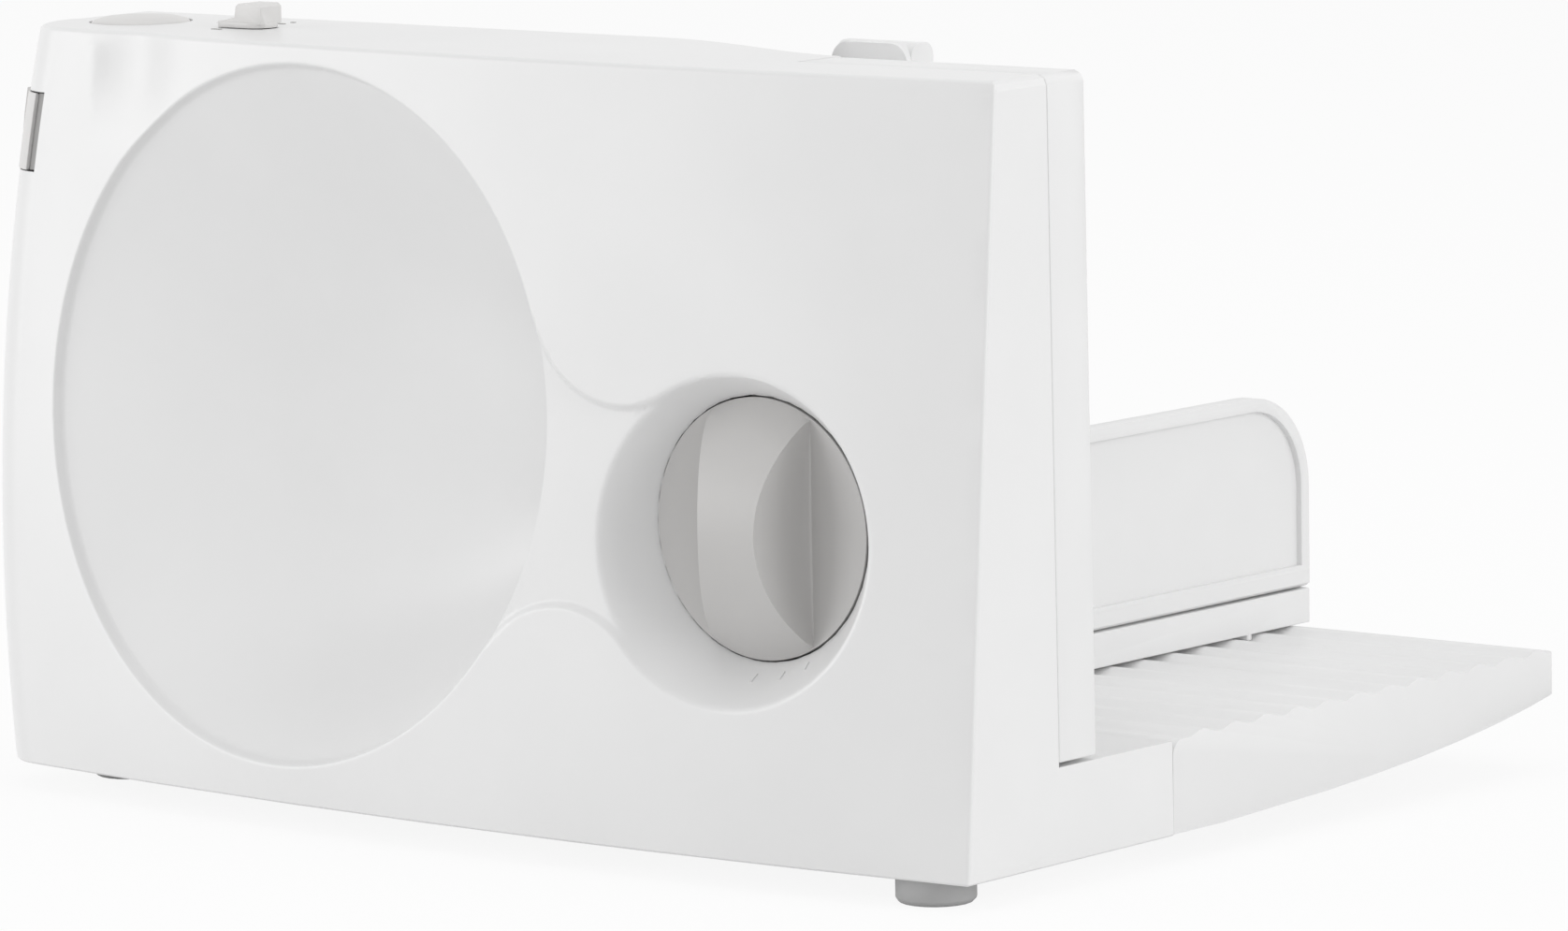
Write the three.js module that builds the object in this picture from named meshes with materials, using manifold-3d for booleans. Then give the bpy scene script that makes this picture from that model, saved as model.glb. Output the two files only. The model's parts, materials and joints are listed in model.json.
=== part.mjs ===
// Folding electric food slicer, in millimetres, +Z up, standing on its feet.
// The front face looks along -Y, and the operator's end is at +X.
import * as THREE from 'three';
import { mergeVertices } from 'three/addons/utils/BufferGeometryUtils.js';
import Module from 'manifold-3d';

const wasm = await Module();
wasm.setup();

// Body
const LENGTH = 337.7;
const BODY_HEIGHT = 190;
const FOOT_HEIGHT = 6.7;
const WALL = 2.8;
const GAP = 0.3;
const FACE_LEAN = 0.0869;
const FACE_APEX_INSET = 113.85;
const FACE_RADIUS = 1427;
const END_DRAFT = 0.0082;
const END_BARREL_RADIUS = 435;
const CORNER_WIDTH = 18;
const CORNER_DEPTH = 21;
const HOLLOW_DEPTH = 3;
const TOP_EDGE = 2.5;
const BOTTOM_PLATE = 2.2;

// Base and folding table
const BASE_DEPTH = 87.4;
const BASE_HEIGHT = 23.6;
const TABLE_LENGTH = 168.7;
const TABLE_PLATE = 3;
const TABLE_SKIRT = 2.6;
const TABLE_END_HEIGHT = 10.5;
const RIB_COUNT = 12;
const RIB_HEIGHT = 1.4;
const HINGE_INSET = 4;
const HINGE_PIN_RADIUS = 1.9;
const LUG_WIDTH = 10;
const LUG_INSETS = [56.85, 120.85];

// Cutting parts
const BLADE_RADIUS = 85;
const BLADE_INSET = 117.95;
const BLADE_Z = 104;
const BLADE_THICKNESS = 1.2;
const BLADE_PLANE = 72.4;
const DRIVE_PLATE = 2.5;
const GUARD_DEPTH = 10.4;
const STOP_FRONT = 41.5;
const STOP_THICKNESS = 14.9;
const STOP_CLEARANCE = 11.9;
const STOP_TRAVEL = 15.8;
const ROOF_HEIGHT = 6.2;
const ROOF_DEPTH = 80.2;
const ROOF_OVERHANG = 46;

// Slice bowl, knob dish and the neck between them
const BOWL_RADIUS = 87.7;
const BOWL_FLOOR = 41;
const BOWL_SHIFT = 0.78;
const BOWL_RIM = 3;
const DUCT_WIDTH = 30;
const DUCT_HALF_HEIGHT = 55;
const KNOB_INSET = 72.55;
const KNOB_Z = 85.3;
const KNOB_RADIUS = 32.1;
const KNOB_RIM_Y = 19.1;
const KNOB_GRIP_HEIGHT = 14;
const DISH_SLOPE = 0.75;
const NECK_FILLET = 15;
const NECK_DEPTH = 1.5;

// Drive
const GEAR_TEETH = 50;
const GEAR_MODULE = 1.8;
const GEAR_WIDTH = 10;
const WORM_RADIUS = 6.5;
const TOOTH_HEIGHT = 3.2;
const AXLE_RADIUS = 5;
const MOTOR_RADIUS = 14;
const MOTOR_LENGTH = 54;
const MOTOR_SHAFT_RADIUS = 2.5;

// Carriage and food holder
const CARRIAGE_INSET = 76.65;
const CARRIAGE_LENGTH = 86;
const CARRIAGE_NEAR = 103;
const CARRIAGE_FAR = 255;
const CARRIAGE_FLOOR = 3;
const STRIP_HEIGHT = 11.5;
const STRIP_WIDTH = 8.4;
const WALL_HEIGHT = 50;
const WALL_THICKNESS = 5.2;
const WALL_CORNER = 25;
const WALL_KNUCKLE = 2;
const WALL_PIN_RADIUS = 0.9;
const HOLDER_WIDTH = 70;
const HOLDER_GRIP_WIDTH = 24;
const GRIP_INSET = 13;
const GRIP_HEIGHT = 12;
const HOLDER_HEIGHT = 158;
const HOLDER_SETBACK = 17;
const HOLDER_THICKNESS = 5;
const SHOE_PIN_RADIUS = 1.5;
const EAR_WIDTH = 7.6;
const SPIKE_LENGTH = 2.2;

// Controls
const BUTTON_RADIUS = 13.2;
const BUTTON_INSET = 32.75;
const BUTTON_STEM = 4;
const BUTTON_DOME = 1.8;
const SWITCH_DEPTH = 39;
const SWITCH_HALF = 11;
const SWITCH_HEIGHT = 16;
const BUTTON_Y = 55.6;
const BUTTON_TRAVEL = 3;
const BUTTON_THICKNESS = 3.2;
const LEVER_INSET = 70.85;
const LEVER_Y = 54;
const LEVER_TRAVEL = 5;
const LEVER_STEM = 3;
const SIDE_BUTTON_Y = 46;
const SIDE_BUTTON_DROP = 27.2;
const SIDE_BUTTON_INSET = 13.5;
const SIDE_SPRING_LENGTH = 7;
const SIDE_BUTTON_HALF_Y = 4.8;
const SIDE_BUTTON_HALF_Z = 10;
const SIDE_BUTTON_PROUD = 2.5;

// Fixings and small parts
const BUSH_RADIUS = 9;
const HUB_RADIUS = 7.5;
const FLANGE_RADIUS = 18;
const LOCK_RADIUS = 20;
const LOCK_HEIGHT = 6;
const SCREW_HEAD = 3.4;
const SCREW_RADIUS = 1.6;
const POST_RADIUS = 4;
const FOOT_RADIUS = 9.8;
const FOOT_STEM = 3;
const LEG_RADIUS = 9;
const TABLE_FOOT_HEIGHT = 5;
const PLATE_INSET = 0.8;
const STOP_LIFT = 2.8;
const ROD_RADIUS = 4;
const NUT_RADIUS = 12;
const SPINDLE_RADIUS = 8;
const WORM_HALF = 17;
const GLAND_Y = 62;
const GLAND_RADIUS = 5;
const GLAND_BORE = 3.2;
const GLAND_LENGTH = 18.85;

const LEFT = -LENGTH / 2;
const RIGHT = LENGTH / 2;
const FACE_APEX_X = RIGHT - FACE_APEX_INSET;
const BLADE_X = LEFT + BLADE_INSET;
const STOP_LEFT = BLADE_X + BLADE_RADIUS + STOP_CLEARANCE;
const ROOF_END = STOP_LEFT + ROOF_OVERHANG;
const KNOB_X = RIGHT - KNOB_INSET;
const CARRIAGE_RIGHT = RIGHT - CARRIAGE_INSET;
const BUTTON_X = LEFT + BUTTON_INSET;
const LEVER_X = LEFT + LEVER_INSET;
const LUG_XS = [LEFT + LUG_INSETS[0], RIGHT - LUG_INSETS[1]];
const GLAND_INSIDE = LEFT + GLAND_LENGTH;
const TOP = FOOT_HEIGHT + BODY_HEIGHT;
const SIDE_BUTTON_Z = TOP - SIDE_BUTTON_DROP;
const BASE_TOP = FOOT_HEIGHT + BASE_HEIGHT;
const ROOF_Z = TOP - ROOF_HEIGHT;
const DRIVE_PLATE_BACK = BLADE_PLANE - BLADE_THICKNESS - 1.5;
const DRIVE_PLATE_FRONT = DRIVE_PLATE_BACK - DRIVE_PLATE;
const HOUSING_BACK = DRIVE_PLATE_FRONT - GAP;
const DUCT_RIGHT = STOP_LEFT - GAP - WALL;
const DUCT_LEFT = DUCT_RIGHT - DUCT_WIDTH;
const STOP_BACK = STOP_FRONT + STOP_THICKNESS;
const STOP_WALL = STOP_FRONT - GAP;
const TABLE_TOP = BASE_TOP;
const HINGE_Y = BASE_DEPTH + GAP + HINGE_INSET;
const HINGE_Z = TABLE_TOP - HINGE_INSET;
const TABLE_FAR = BASE_DEPTH + GAP + TABLE_LENGTH;
const TABLE_NEAR = BASE_DEPTH + GAP;
const DEPTH_CENTRE = TABLE_FAR / 2;
const CARRIAGE_LEFT = CARRIAGE_RIGHT - CARRIAGE_LENGTH;
const FLOOR_BOTTOM = TABLE_TOP + RIB_HEIGHT + GAP;
const FLOOR_TOP = FLOOR_BOTTOM + CARRIAGE_FLOOR;
const STRIP_TOP = FLOOR_BOTTOM + STRIP_HEIGHT;
const GEAR_RADIUS = GEAR_TEETH * GEAR_MODULE / 2;
const GEAR_FRONT = BOWL_FLOOR + WALL + 0.7;
const GEAR_BACK = GEAR_FRONT + GEAR_WIDTH;
const WORM_X = BLADE_X - GEAR_RADIUS - WORM_RADIUS;
const WORM_Y = (GEAR_FRONT + GEAR_BACK) / 2;
const MOTOR_BOTTOM = FOOT_HEIGHT + BOTTOM_PLATE + 8;
const MOTOR_TOP = MOTOR_BOTTOM + MOTOR_LENGTH;
const KNOB_BACK = KNOB_RIM_Y + 8;
const POCKET_WALL_BACK = KNOB_BACK + GAP + WALL;

const ROD_REACH = STOP_TRAVEL + 4.2;
const HOLDER_Y = CARRIAGE_NEAR + HOLDER_SETBACK;
const HOLDER_PIVOT_Z = FLOOR_TOP + 5;
const HOLDER_RIGHT = CARRIAGE_RIGHT - STRIP_WIDTH - 4;
const HOLDER_LEFT = HOLDER_RIGHT - HOLDER_WIDTH;
const GRIP_RIGHT = HOLDER_RIGHT - GRIP_INSET;
const GRIP_LEFT = GRIP_RIGHT - HOLDER_GRIP_WIDTH;
const WALL_AXIS_X = CARRIAGE_RIGHT - WALL_KNUCKLE;
const WALL_AXIS_Z = STRIP_TOP;
const SWITCH_TOP = TOP - SWITCH_DEPTH;
const GLAND_Z = FOOT_HEIGHT + 14;
const TABLE_LEFT = leftEnd(FOOT_HEIGHT) + 2;
const TABLE_RIGHT = rightEnd(BASE_TOP);
const LEG_SPOTS = [[TABLE_RIGHT - 62, TABLE_FAR - 30], [TABLE_LEFT + 62, TABLE_FAR - 30]];
const POST_XS = [BLADE_X + BLADE_RADIUS - 14, BLADE_X - BLADE_RADIUS + 46, LEFT + 19.5];
const POST_SPOTS = [[RIGHT - 17.5, BASE_DEPTH - 18.3], ...POST_XS.map((x) => [x, BASE_DEPTH - 10.3])];
const FOOT_SPOTS = [[RIGHT - 18.2, FOOT_RADIUS + 5.9], [RIGHT - 52, BASE_DEPTH - 14.3],
  [LEFT + 31.5, FOOT_RADIUS + 36.2], [LEFT + 31.5, BASE_DEPTH - 14.3]];
const GUIDE_RODS = [[RIGHT - 21.5, TOP - 53], [RIGHT - 21.5, FOOT_HEIGHT + 50]];
const SIDE_BUTTON_INNER = LEFT + SIDE_BUTTON_INSET;
const SIDE_STOP = SIDE_BUTTON_INNER + SIDE_SPRING_LENGTH;
const far = LENGTH;

const PAINTS = {
  shell: { color: 0xeeeeee, roughness: 0.35, metalness: 0 },
  grey: { color: 0xc8c8c4, roughness: 0.4, metalness: 0 },
  rubber: { color: 0x9a9a98, roughness: 0.8, metalness: 0 },
  steel: { color: 0xc9ccd0, roughness: 0.25, metalness: 1 },
  brass: { color: 0xb89a5a, roughness: 0.35, metalness: 1 },
  dark: { color: 0x3a3b3d, roughness: 0.5, metalness: 0 },
  nylon: { color: 0xe6e0cf, roughness: 0.45, metalness: 0 },
  clear: { color: 0xf2f5f6, roughness: 0.25, metalness: 0, transparent: true, opacity: 0.6 },
};

const AXES = {
  x: new THREE.Matrix4().makeBasis(vec(0, 1, 0), vec(0, 0, 1), vec(1, 0, 0)),
  y: new THREE.Matrix4().makeBasis(vec(1, 0, 0), vec(0, 0, 1), vec(0, -1, 0)),
  z: new THREE.Matrix4(),
};

const model = new THREE.Group();
model.name = 'food_slicer';
model.position.y = -DEPTH_CENTRE;

function vec(x, y, z) {
  return new THREE.Vector3(x, y, z);
}

// A closed three.js geometry as a solid that can be joined and cut
function solid(geometry) {
  const bare = geometry.clone();
  bare.deleteAttribute('normal');
  bare.deleteAttribute('uv');
  const merged = mergeVertices(bare, 1e-4);
  const corners = merged.attributes.position;
  const faces = [];
  let volume = 0;
  for (let i = 0; i < merged.index.count; i += 3) {
    const face = [0, 1, 2].map((k) => merged.index.getX(i + k));
    if (new Set(face).size < 3) continue;
    const [a, b, c] = face.map((n) => new THREE.Vector3().fromBufferAttribute(corners, n));
    volume += a.dot(b.cross(c));
    faces.push(face);
  }
  const order = volume < 0 ? [0, 2, 1] : [0, 1, 2];
  const triVerts = Uint32Array.from(faces.flatMap((face) => order.map((k) => face[k])));
  const vertProperties = Float32Array.from(corners.array);
  return new wasm.Manifold(new wasm.Mesh({ numProp: 3, vertProperties, triVerts }));
}

function add(name, body, paint) {
  const mesh = body.getMesh();
  const geometry = new THREE.BufferGeometry();
  geometry.setAttribute('position', new THREE.BufferAttribute(mesh.vertProperties, 3));
  geometry.setIndex(new THREE.BufferAttribute(mesh.triVerts, 1));
  geometry.computeVertexNormals();
  const piece = new THREE.Mesh(geometry, new THREE.MeshStandardMaterial(PAINTS[paint]));
  piece.name = name;
  model.add(piece);
}

function shapeOf(points) {
  return new THREE.Shape(points.map(([a, b]) => new THREE.Vector2(a, b)));
}

// An outline swept along an axis: (y, z) along x, (x, z) along y, (x, y) along z
function prism(axis, shape, from, to, curveSegments = 10) {
  const settings = { depth: to - from, bevelEnabled: false, curveSegments, steps: 1 };
  const geometry = new THREE.ExtrudeGeometry(shape, settings);
  geometry.applyMatrix4(AXES[axis]);
  const start = { x: vec(from, 0, 0), y: vec(0, to, 0), z: vec(0, 0, from) }[axis];
  geometry.translate(start.x, start.y, start.z);
  return solid(geometry);
}

function disc(a, b, radius) {
  const shape = new THREE.Shape();
  shape.absarc(a, b, radius, 0, 2 * Math.PI);
  return shape;
}

function rod(axis, a, b, radius, from, to, curveSegments = 10) {
  return prism(axis, disc(a, b, radius), from, to, curveSegments);
}

function box(x0, x1, y0, y1, z0, z1) {
  const geometry = new THREE.BoxGeometry(x1 - x0, y1 - y0, z1 - z0);
  geometry.translate((x0 + x1) / 2, (y0 + y1) / 2, (z0 + z1) / 2);
  return solid(geometry);
}

function rounded(a0, a1, b0, b1, radius) {
  const shape = new THREE.Shape();
  shape.absarc(a1 - radius, b0 + radius, radius, -Math.PI / 2, 0);
  shape.absarc(a1 - radius, b1 - radius, radius, 0, Math.PI / 2);
  shape.absarc(a0 + radius, b1 - radius, radius, Math.PI / 2, Math.PI);
  shape.absarc(a0 + radius, b0 + radius, radius, Math.PI, 1.5 * Math.PI);
  return shape;
}

// A turned piece: [radius, position] pairs along y or z
function turned(axis, profile, x, y, z, sides = 20) {
  const geometry = new THREE.LatheGeometry(profile.map(([r, p]) => new THREE.Vector2(r, p)), sides);
  if (axis === 'z') geometry.rotateX(Math.PI / 2);
  if (axis === 'x') geometry.rotateZ(-Math.PI / 2);
  geometry.translate(x, y, z);
  return solid(geometry);
}

// A closed skin through rings with equal numbers of points
function loft(rings) {
  const count = rings[0].length;
  const points = rings.flat();
  const faces = [];
  for (let ring = 0; ring + 1 < rings.length; ring += 1) {
    for (let k = 0; k < count; k += 1) {
      const a = ring * count + k;
      const b = ring * count + (k + 1) % count;
      faces.push(a, b, b + count, a, b + count, a + count);
    }
  }
  const caps = [[0, rings[0], true], [(rings.length - 1) * count, rings.at(-1), false]];
  for (const [first, ring, flip] of caps) {
    const centre = ring.reduce((sum, p) => sum.add(p), vec(0, 0, 0)).divideScalar(count);
    points.push(centre);
    for (let k = 0; k < count; k += 1) {
      const pair = [first + k, first + (k + 1) % count];
      faces.push(points.length - 1, ...(flip ? pair.reverse() : pair));
    }
  }
  const geometry = new THREE.BufferGeometry().setFromPoints(points);
  geometry.setIndex(faces);
  return solid(geometry);
}

// The leaning, gently bowed front face
function faceY(x, z) {
  const h = z - FOOT_HEIGHT;
  const rise = THREE.MathUtils.smoothstep(h, 0.6 * BODY_HEIGHT, 0.95 * BODY_HEIGHT);
  const hollow = HOLLOW_DEPTH * rise * Math.exp(-(((x + LENGTH / 3) / 13) ** 2));
  return (x - FACE_APEX_X) ** 2 / (2 * FACE_RADIUS) + FACE_LEAN * h + hollow;
}

function leftEnd(z) {
  const h = z - FOOT_HEIGHT - BODY_HEIGHT / 2;
  return -LENGTH / 2 + h ** 2 / (2 * END_BARREL_RADIUS);
}

function rightEnd(z) {
  return LENGTH / 2 - END_DRAFT * (z - FOOT_HEIGHT);
}

// The body's outline at one height, moved inwards by inset
function section(z, inset, back) {
  const left = leftEnd(z) + inset;
  const right = rightEnd(z) - inset;
  const corner = left + CORNER_WIDTH;
  const cornerBack = faceY(corner, z) + inset + CORNER_DEPTH;
  const ring = [];
  const faceSteps = 13;
  const cornerSteps = 5;
  for (let k = 0; k < faceSteps; k += 1) {
    const x = THREE.MathUtils.lerp(right, corner, k / faceSteps);
    ring.push(vec(x, faceY(x, z) + inset, z));
  }
  for (let k = 0; k <= cornerSteps; k += 1) {
    const turn = (k / cornerSteps) * Math.PI / 2;
    const x = corner - CORNER_WIDTH * Math.sin(turn);
    ring.push(vec(x, cornerBack - CORNER_DEPTH * Math.cos(turn), z));
  }
  ring.push(vec(left, back, z), vec(right, back, z));
  return ring;
}

function bodyBlock(inset, bottom, top, edge) {
  const back = TABLE_FAR;
  const levels = 8;
  const rings = [];
  for (let k = 0; k <= levels; k += 1) {
    rings.push(section(THREE.MathUtils.lerp(bottom, top - edge, k / levels), inset, back));
  }
  if (edge > 0) {
    rings.push(section(top - 0.3 * edge, inset + 0.3 * edge, back));
    rings.push(section(top, inset + edge, back));
  }
  return loft(rings);
}

// The bowl's rings all touch at its right side, where it is deepest
function bowlBlock(grow) {
  const rings = [];
  const sides = 36;
  for (const step of [-1, 0, 0.1, 0.28, 0.52, 0.76, 1]) {
    const along = Math.max(step, 0);
    const radius = BOWL_RADIUS * (1 - BOWL_SHIFT * along);
    const x = BLADE_X + BOWL_RADIUS * BOWL_SHIFT * along;
    const sink = Math.sin(along * Math.PI / 2);
    const ring = [];
    for (let k = 0; k < sides; k += 1) {
      const turn = (k / sides) * 2 * Math.PI;
      const rimX = BLADE_X + BOWL_RADIUS * Math.cos(turn);
      const rimZ = BLADE_Z + BOWL_RADIUS * Math.sin(turn);
      const front = faceY(rimX, rimZ) + (step < 0 ? -BODY_HEIGHT / 4 : BOWL_RIM);
      const y = THREE.MathUtils.lerp(front, BOWL_FLOOR, sink) + (step < 0 ? 0 : grow);
      const r = radius + grow;
      ring.push(vec(x + r * Math.cos(turn), y, BLADE_Z + r * Math.sin(turn)));
    }
    rings.push(ring);
  }
  return loft(rings);
}

// The outline of the shallow bridge, with a fillet above and below
function neckOutline() {
  const dishRadius = KNOB_RADIUS + 9;
  const bowl = new THREE.Vector2(BLADE_X, BLADE_Z);
  const dish = new THREE.Vector2(KNOB_X, KNOB_Z - 3);
  const apart = bowl.distanceTo(dish);
  const along = dish.clone().sub(bowl).divideScalar(apart);
  const up = new THREE.Vector2(-along.y, along.x);
  const fillet = NECK_FILLET + (apart - BOWL_RADIUS - dishRadius) / 2;
  const toBowl = BOWL_RADIUS + fillet;
  const toDish = dishRadius + fillet;
  const offset = (toBowl ** 2 - toDish ** 2 + apart ** 2) / (2 * apart);
  const height = Math.sqrt(toBowl ** 2 - offset ** 2);
  const points = [];
  for (const side of [1, -1]) {
    const centre = bowl.clone().addScaledVector(along, offset).addScaledVector(up, side * height);
    const start = bowl.clone().sub(centre).angle();
    const sweep = dish.clone().sub(centre).angle() - start;
    const turn = Math.atan2(Math.sin(sweep), Math.cos(sweep));
    const arc = [];
    for (let k = 0; k <= 8; k += 1) {
      const at = start + turn * k / 8;
      arc.push([centre.x + fillet * Math.cos(at), centre.y + fillet * Math.sin(at)]);
    }
    points.push(...(side > 0 ? arc : arc.reverse()));
  }
  return shapeOf(points);
}

function neckBlock() {
  const reach = BODY_HEIGHT / 4;
  const geometry = new THREE.ExtrudeGeometry(neckOutline(), { depth: reach, bevelEnabled: false });
  geometry.applyMatrix4(AXES.y);
  const middle = (BLADE_X + BOWL_RADIUS + KNOB_X - KNOB_RADIUS) / 2;
  geometry.translate(0, faceY(middle, KNOB_Z) + NECK_DEPTH, -KNOB_Z);
  geometry.applyMatrix4(new THREE.Matrix4().makeShear(0, 0, 0, 0, 0, FACE_LEAN));
  geometry.translate(0, 0, KNOB_Z);
  return solid(geometry);
}

const outerBlock = bodyBlock(0, FOOT_HEIGHT, TOP, TOP_EDGE);

function roofOutline() {
  const shape = new THREE.Shape();
  const shelf = STOP_BACK + 2;
  shape.moveTo(-far, -far);
  shape.lineTo(ROOF_END, -far);
  shape.lineTo(ROOF_END, shelf);
  shape.bezierCurveTo(ROOF_END - 26, shelf + 2, ROOF_END - 48, ROOF_DEPTH, ROOF_END - 76, ROOF_DEPTH);
  shape.lineTo(-far, ROOF_DEPTH);
  return shape;
}

// Front housing: face, ends, roof and base in one moulding
function frontHousing() {
  const room = box(-far, DUCT_RIGHT + WALL, -far, HOUSING_BACK, 0, far)
    .add(box(-far, far, -far, STOP_WALL, 0, far))
    .add(prism('z', roofOutline(), ROOF_Z, far))
    .add(box(-far, far, -far, BASE_DEPTH, 0, BASE_TOP));
  const lowest = FOOT_HEIGHT + BOTTOM_PLATE + GAP;
  const envelope = outerBlock.intersect(room).intersect(box(-far, far, -far, far, lowest, far));
  const hollowRoom = box(-far, DUCT_RIGHT, -far, far, BASE_TOP, ROOF_Z)
    .subtract(box(DUCT_RIGHT, far, STOP_WALL - WALL, far, 0, far))
    .add(box(-far, DUCT_RIGHT, -far, HOUSING_BACK - WALL / 2, 0, far))
    .add(box(-far, far, -far, STOP_WALL - WALL, 0, far))
    .add(box(-far, far, -far, BASE_DEPTH - WALL, 0, BASE_TOP - WALL));
  const hollow = bodyBlock(WALL, 0, TOP - WALL, 0).intersect(hollowRoom);
  const ductLow = BLADE_Z - DUCT_HALF_HEIGHT;
  const ductHigh = BLADE_Z + DUCT_HALF_HEIGHT;
  const ductFront = faceY(DUCT_RIGHT, ductHigh) + 4 * WALL;
  const ductShell = box(
    DUCT_LEFT - WALL, DUCT_RIGHT + WALL, ductFront - WALL, HOUSING_BACK, ductLow - WALL, ductHigh + WALL,
  );
  const duct = box(DUCT_LEFT, DUCT_RIGHT, ductFront, far, ductLow, ductHigh);
  const dishReach = KNOB_RIM_Y + 0.5;
  const dishBottom = KNOB_RADIUS + 0.5;
  const cone = (grow) => turned('y', [
    [0, dishReach + grow], [dishBottom + grow, dishReach + grow],
    [dishBottom + grow + DISH_SLOPE * (dishReach + 20), -20], [0, -20],
  ], KNOB_X, 0, KNOB_Z, 32);
  const pocketShell = rod('y', KNOB_X, KNOB_Z, dishBottom + WALL, dishReach - WALL, POCKET_WALL_BACK, 16);
  const pocket = rod('y', KNOB_X, KNOB_Z, dishBottom, 0, KNOB_BACK + GAP, 16);
  const nutBore = rod('y', KNOB_X, KNOB_Z, NUT_RADIUS + GAP, POCKET_WALL_BACK + 1, far);
  const spindleBore = rod('y', KNOB_X, KNOB_Z, SPINDLE_RADIUS + GAP, 0, far);
  let extra = bowlBlock(WALL).add(ductShell).add(cone(WALL)).add(pocketShell);
  let holes = bowlBlock(0).add(duct).add(cone(0)).add(pocket).add(neckBlock());
  holes = holes.add(nutBore).add(spindleBore);
  for (const [x, z] of GUIDE_RODS) {
    extra = extra.add(rod('y', x, z, ROD_RADIUS + GAP + WALL, STOP_WALL - 16, STOP_WALL));
    holes = holes.add(rod('y', x, z, ROD_RADIUS + GAP, STOP_WALL - 17, STOP_WALL + 1));
  }
  for (const [x, y] of POST_SPOTS) {
    extra = extra.add(rod('z', x, y, POST_RADIUS, lowest, BASE_TOP - 1));
    holes = holes.add(rod('z', x, y, SCREW_RADIUS + GAP, 0, BASE_TOP - WALL));
  }
  for (const x of LUG_XS) {
    const left = x - LUG_WIDTH / 2;
    const right = x + LUG_WIDTH / 2;
    const neckBox = box(left, right, BASE_DEPTH - WALL, HINGE_Y, HINGE_Z - 3.4, TABLE_TOP - 1);
    const eye = rod('x', HINGE_Y, HINGE_Z, HINGE_INSET - GAP, left, right);
    const bore = rod('x', HINGE_Y, HINGE_Z, HINGE_PIN_RADIUS + GAP, x - LUG_WIDTH, x + LUG_WIDTH);
    extra = extra.add(neckBox.add(eye));
    holes = holes.add(bore);
  }
  const sideStop = box(
    SIDE_STOP, SIDE_STOP + WALL, faceY(SIDE_STOP, SIDE_BUTTON_Z) + 1, SIDE_BUTTON_Y + 5,
    SIDE_BUTTON_Z - 6, SIDE_BUTTON_Z + 6,
  );
  extra = extra.add(sideStop);
  holes = holes.add(rod('z', BUTTON_X, BUTTON_Y, BUTTON_RADIUS + GAP, TOP - 4 * WALL, far, 14));
  const half = LEVER_STEM + GAP;
  holes = holes.add(
    box(LEVER_X - half, LEVER_X + half + LEVER_TRAVEL, LEVER_Y - half, LEVER_Y + half, TOP - 2 * WALL, far),
  );
  holes = holes.add(box(
    -far, SIDE_BUTTON_INNER + 4,
    SIDE_BUTTON_Y - SIDE_BUTTON_HALF_Y - GAP, SIDE_BUTTON_Y + SIDE_BUTTON_HALF_Y + GAP,
    SIDE_BUTTON_Z - SIDE_BUTTON_HALF_Z - GAP, SIDE_BUTTON_Z + SIDE_BUTTON_HALF_Z + GAP,
  ));
  holes = holes.add(rod('x', GLAND_Y, GLAND_Z, GLAND_RADIUS + GAP, -far, GLAND_INSIDE));
  const bladeWell = rod('y', BLADE_X, BLADE_Z, BLADE_RADIUS + 2.6, DRIVE_PLATE_BACK, BLADE_PLANE + 1.5, 30);
  holes = holes.add(bladeWell.intersect(box(-far, far, 0, far, 0, BASE_TOP + 1)));
  const lugHalf = LUG_WIDTH / 2;
  const lugs = LUG_XS.map((x) => box(x - lugHalf, x + lugHalf, BASE_DEPTH - 1, far, 0, BASE_TOP));
  const limit = lugs.reduce((all, lug) => all.add(lug), envelope);
  return envelope.subtract(hollow).add(extra.intersect(limit)).subtract(holes);
}

function tableProfile() {
  const points = [[HINGE_Y, TABLE_TOP - TABLE_PLATE]];
  const ribs = (TABLE_FAR - HINGE_Y - 4) / RIB_COUNT;
  points.push([TABLE_FAR, TABLE_TOP - TABLE_PLATE], [TABLE_FAR, TABLE_TOP]);
  for (let rib = RIB_COUNT - 1; rib >= 0; rib -= 1) {
    const start = HINGE_Y + 2 + rib * ribs;
    for (const [at, height] of [[0.9, 0], [0.65, 0.75], [0.5, 1], [0.35, 0.75], [0.1, 0]]) {
      points.push([start + at * ribs, TABLE_TOP + height * RIB_HEIGHT]);
    }
  }
  points.push([HINGE_Y, TABLE_TOP]);
  return shapeOf(points);
}

function skirtProfile() {
  const low = FOOT_HEIGHT + 0.5;
  const endLow = TABLE_TOP - TABLE_END_HEIGHT;
  const shape = new THREE.Shape();
  shape.moveTo(TABLE_NEAR, low);
  shape.lineTo(TABLE_NEAR + 20, low);
  shape.quadraticCurveTo(TABLE_NEAR + 0.7 * TABLE_LENGTH, low + 2, TABLE_FAR, endLow);
  shape.lineTo(TABLE_FAR, TABLE_TOP);
  shape.lineTo(HINGE_Y, TABLE_TOP);
  shape.absarc(HINGE_Y, HINGE_Z, HINGE_INSET, Math.PI / 2, Math.PI, false);
  return shape;
}

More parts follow.
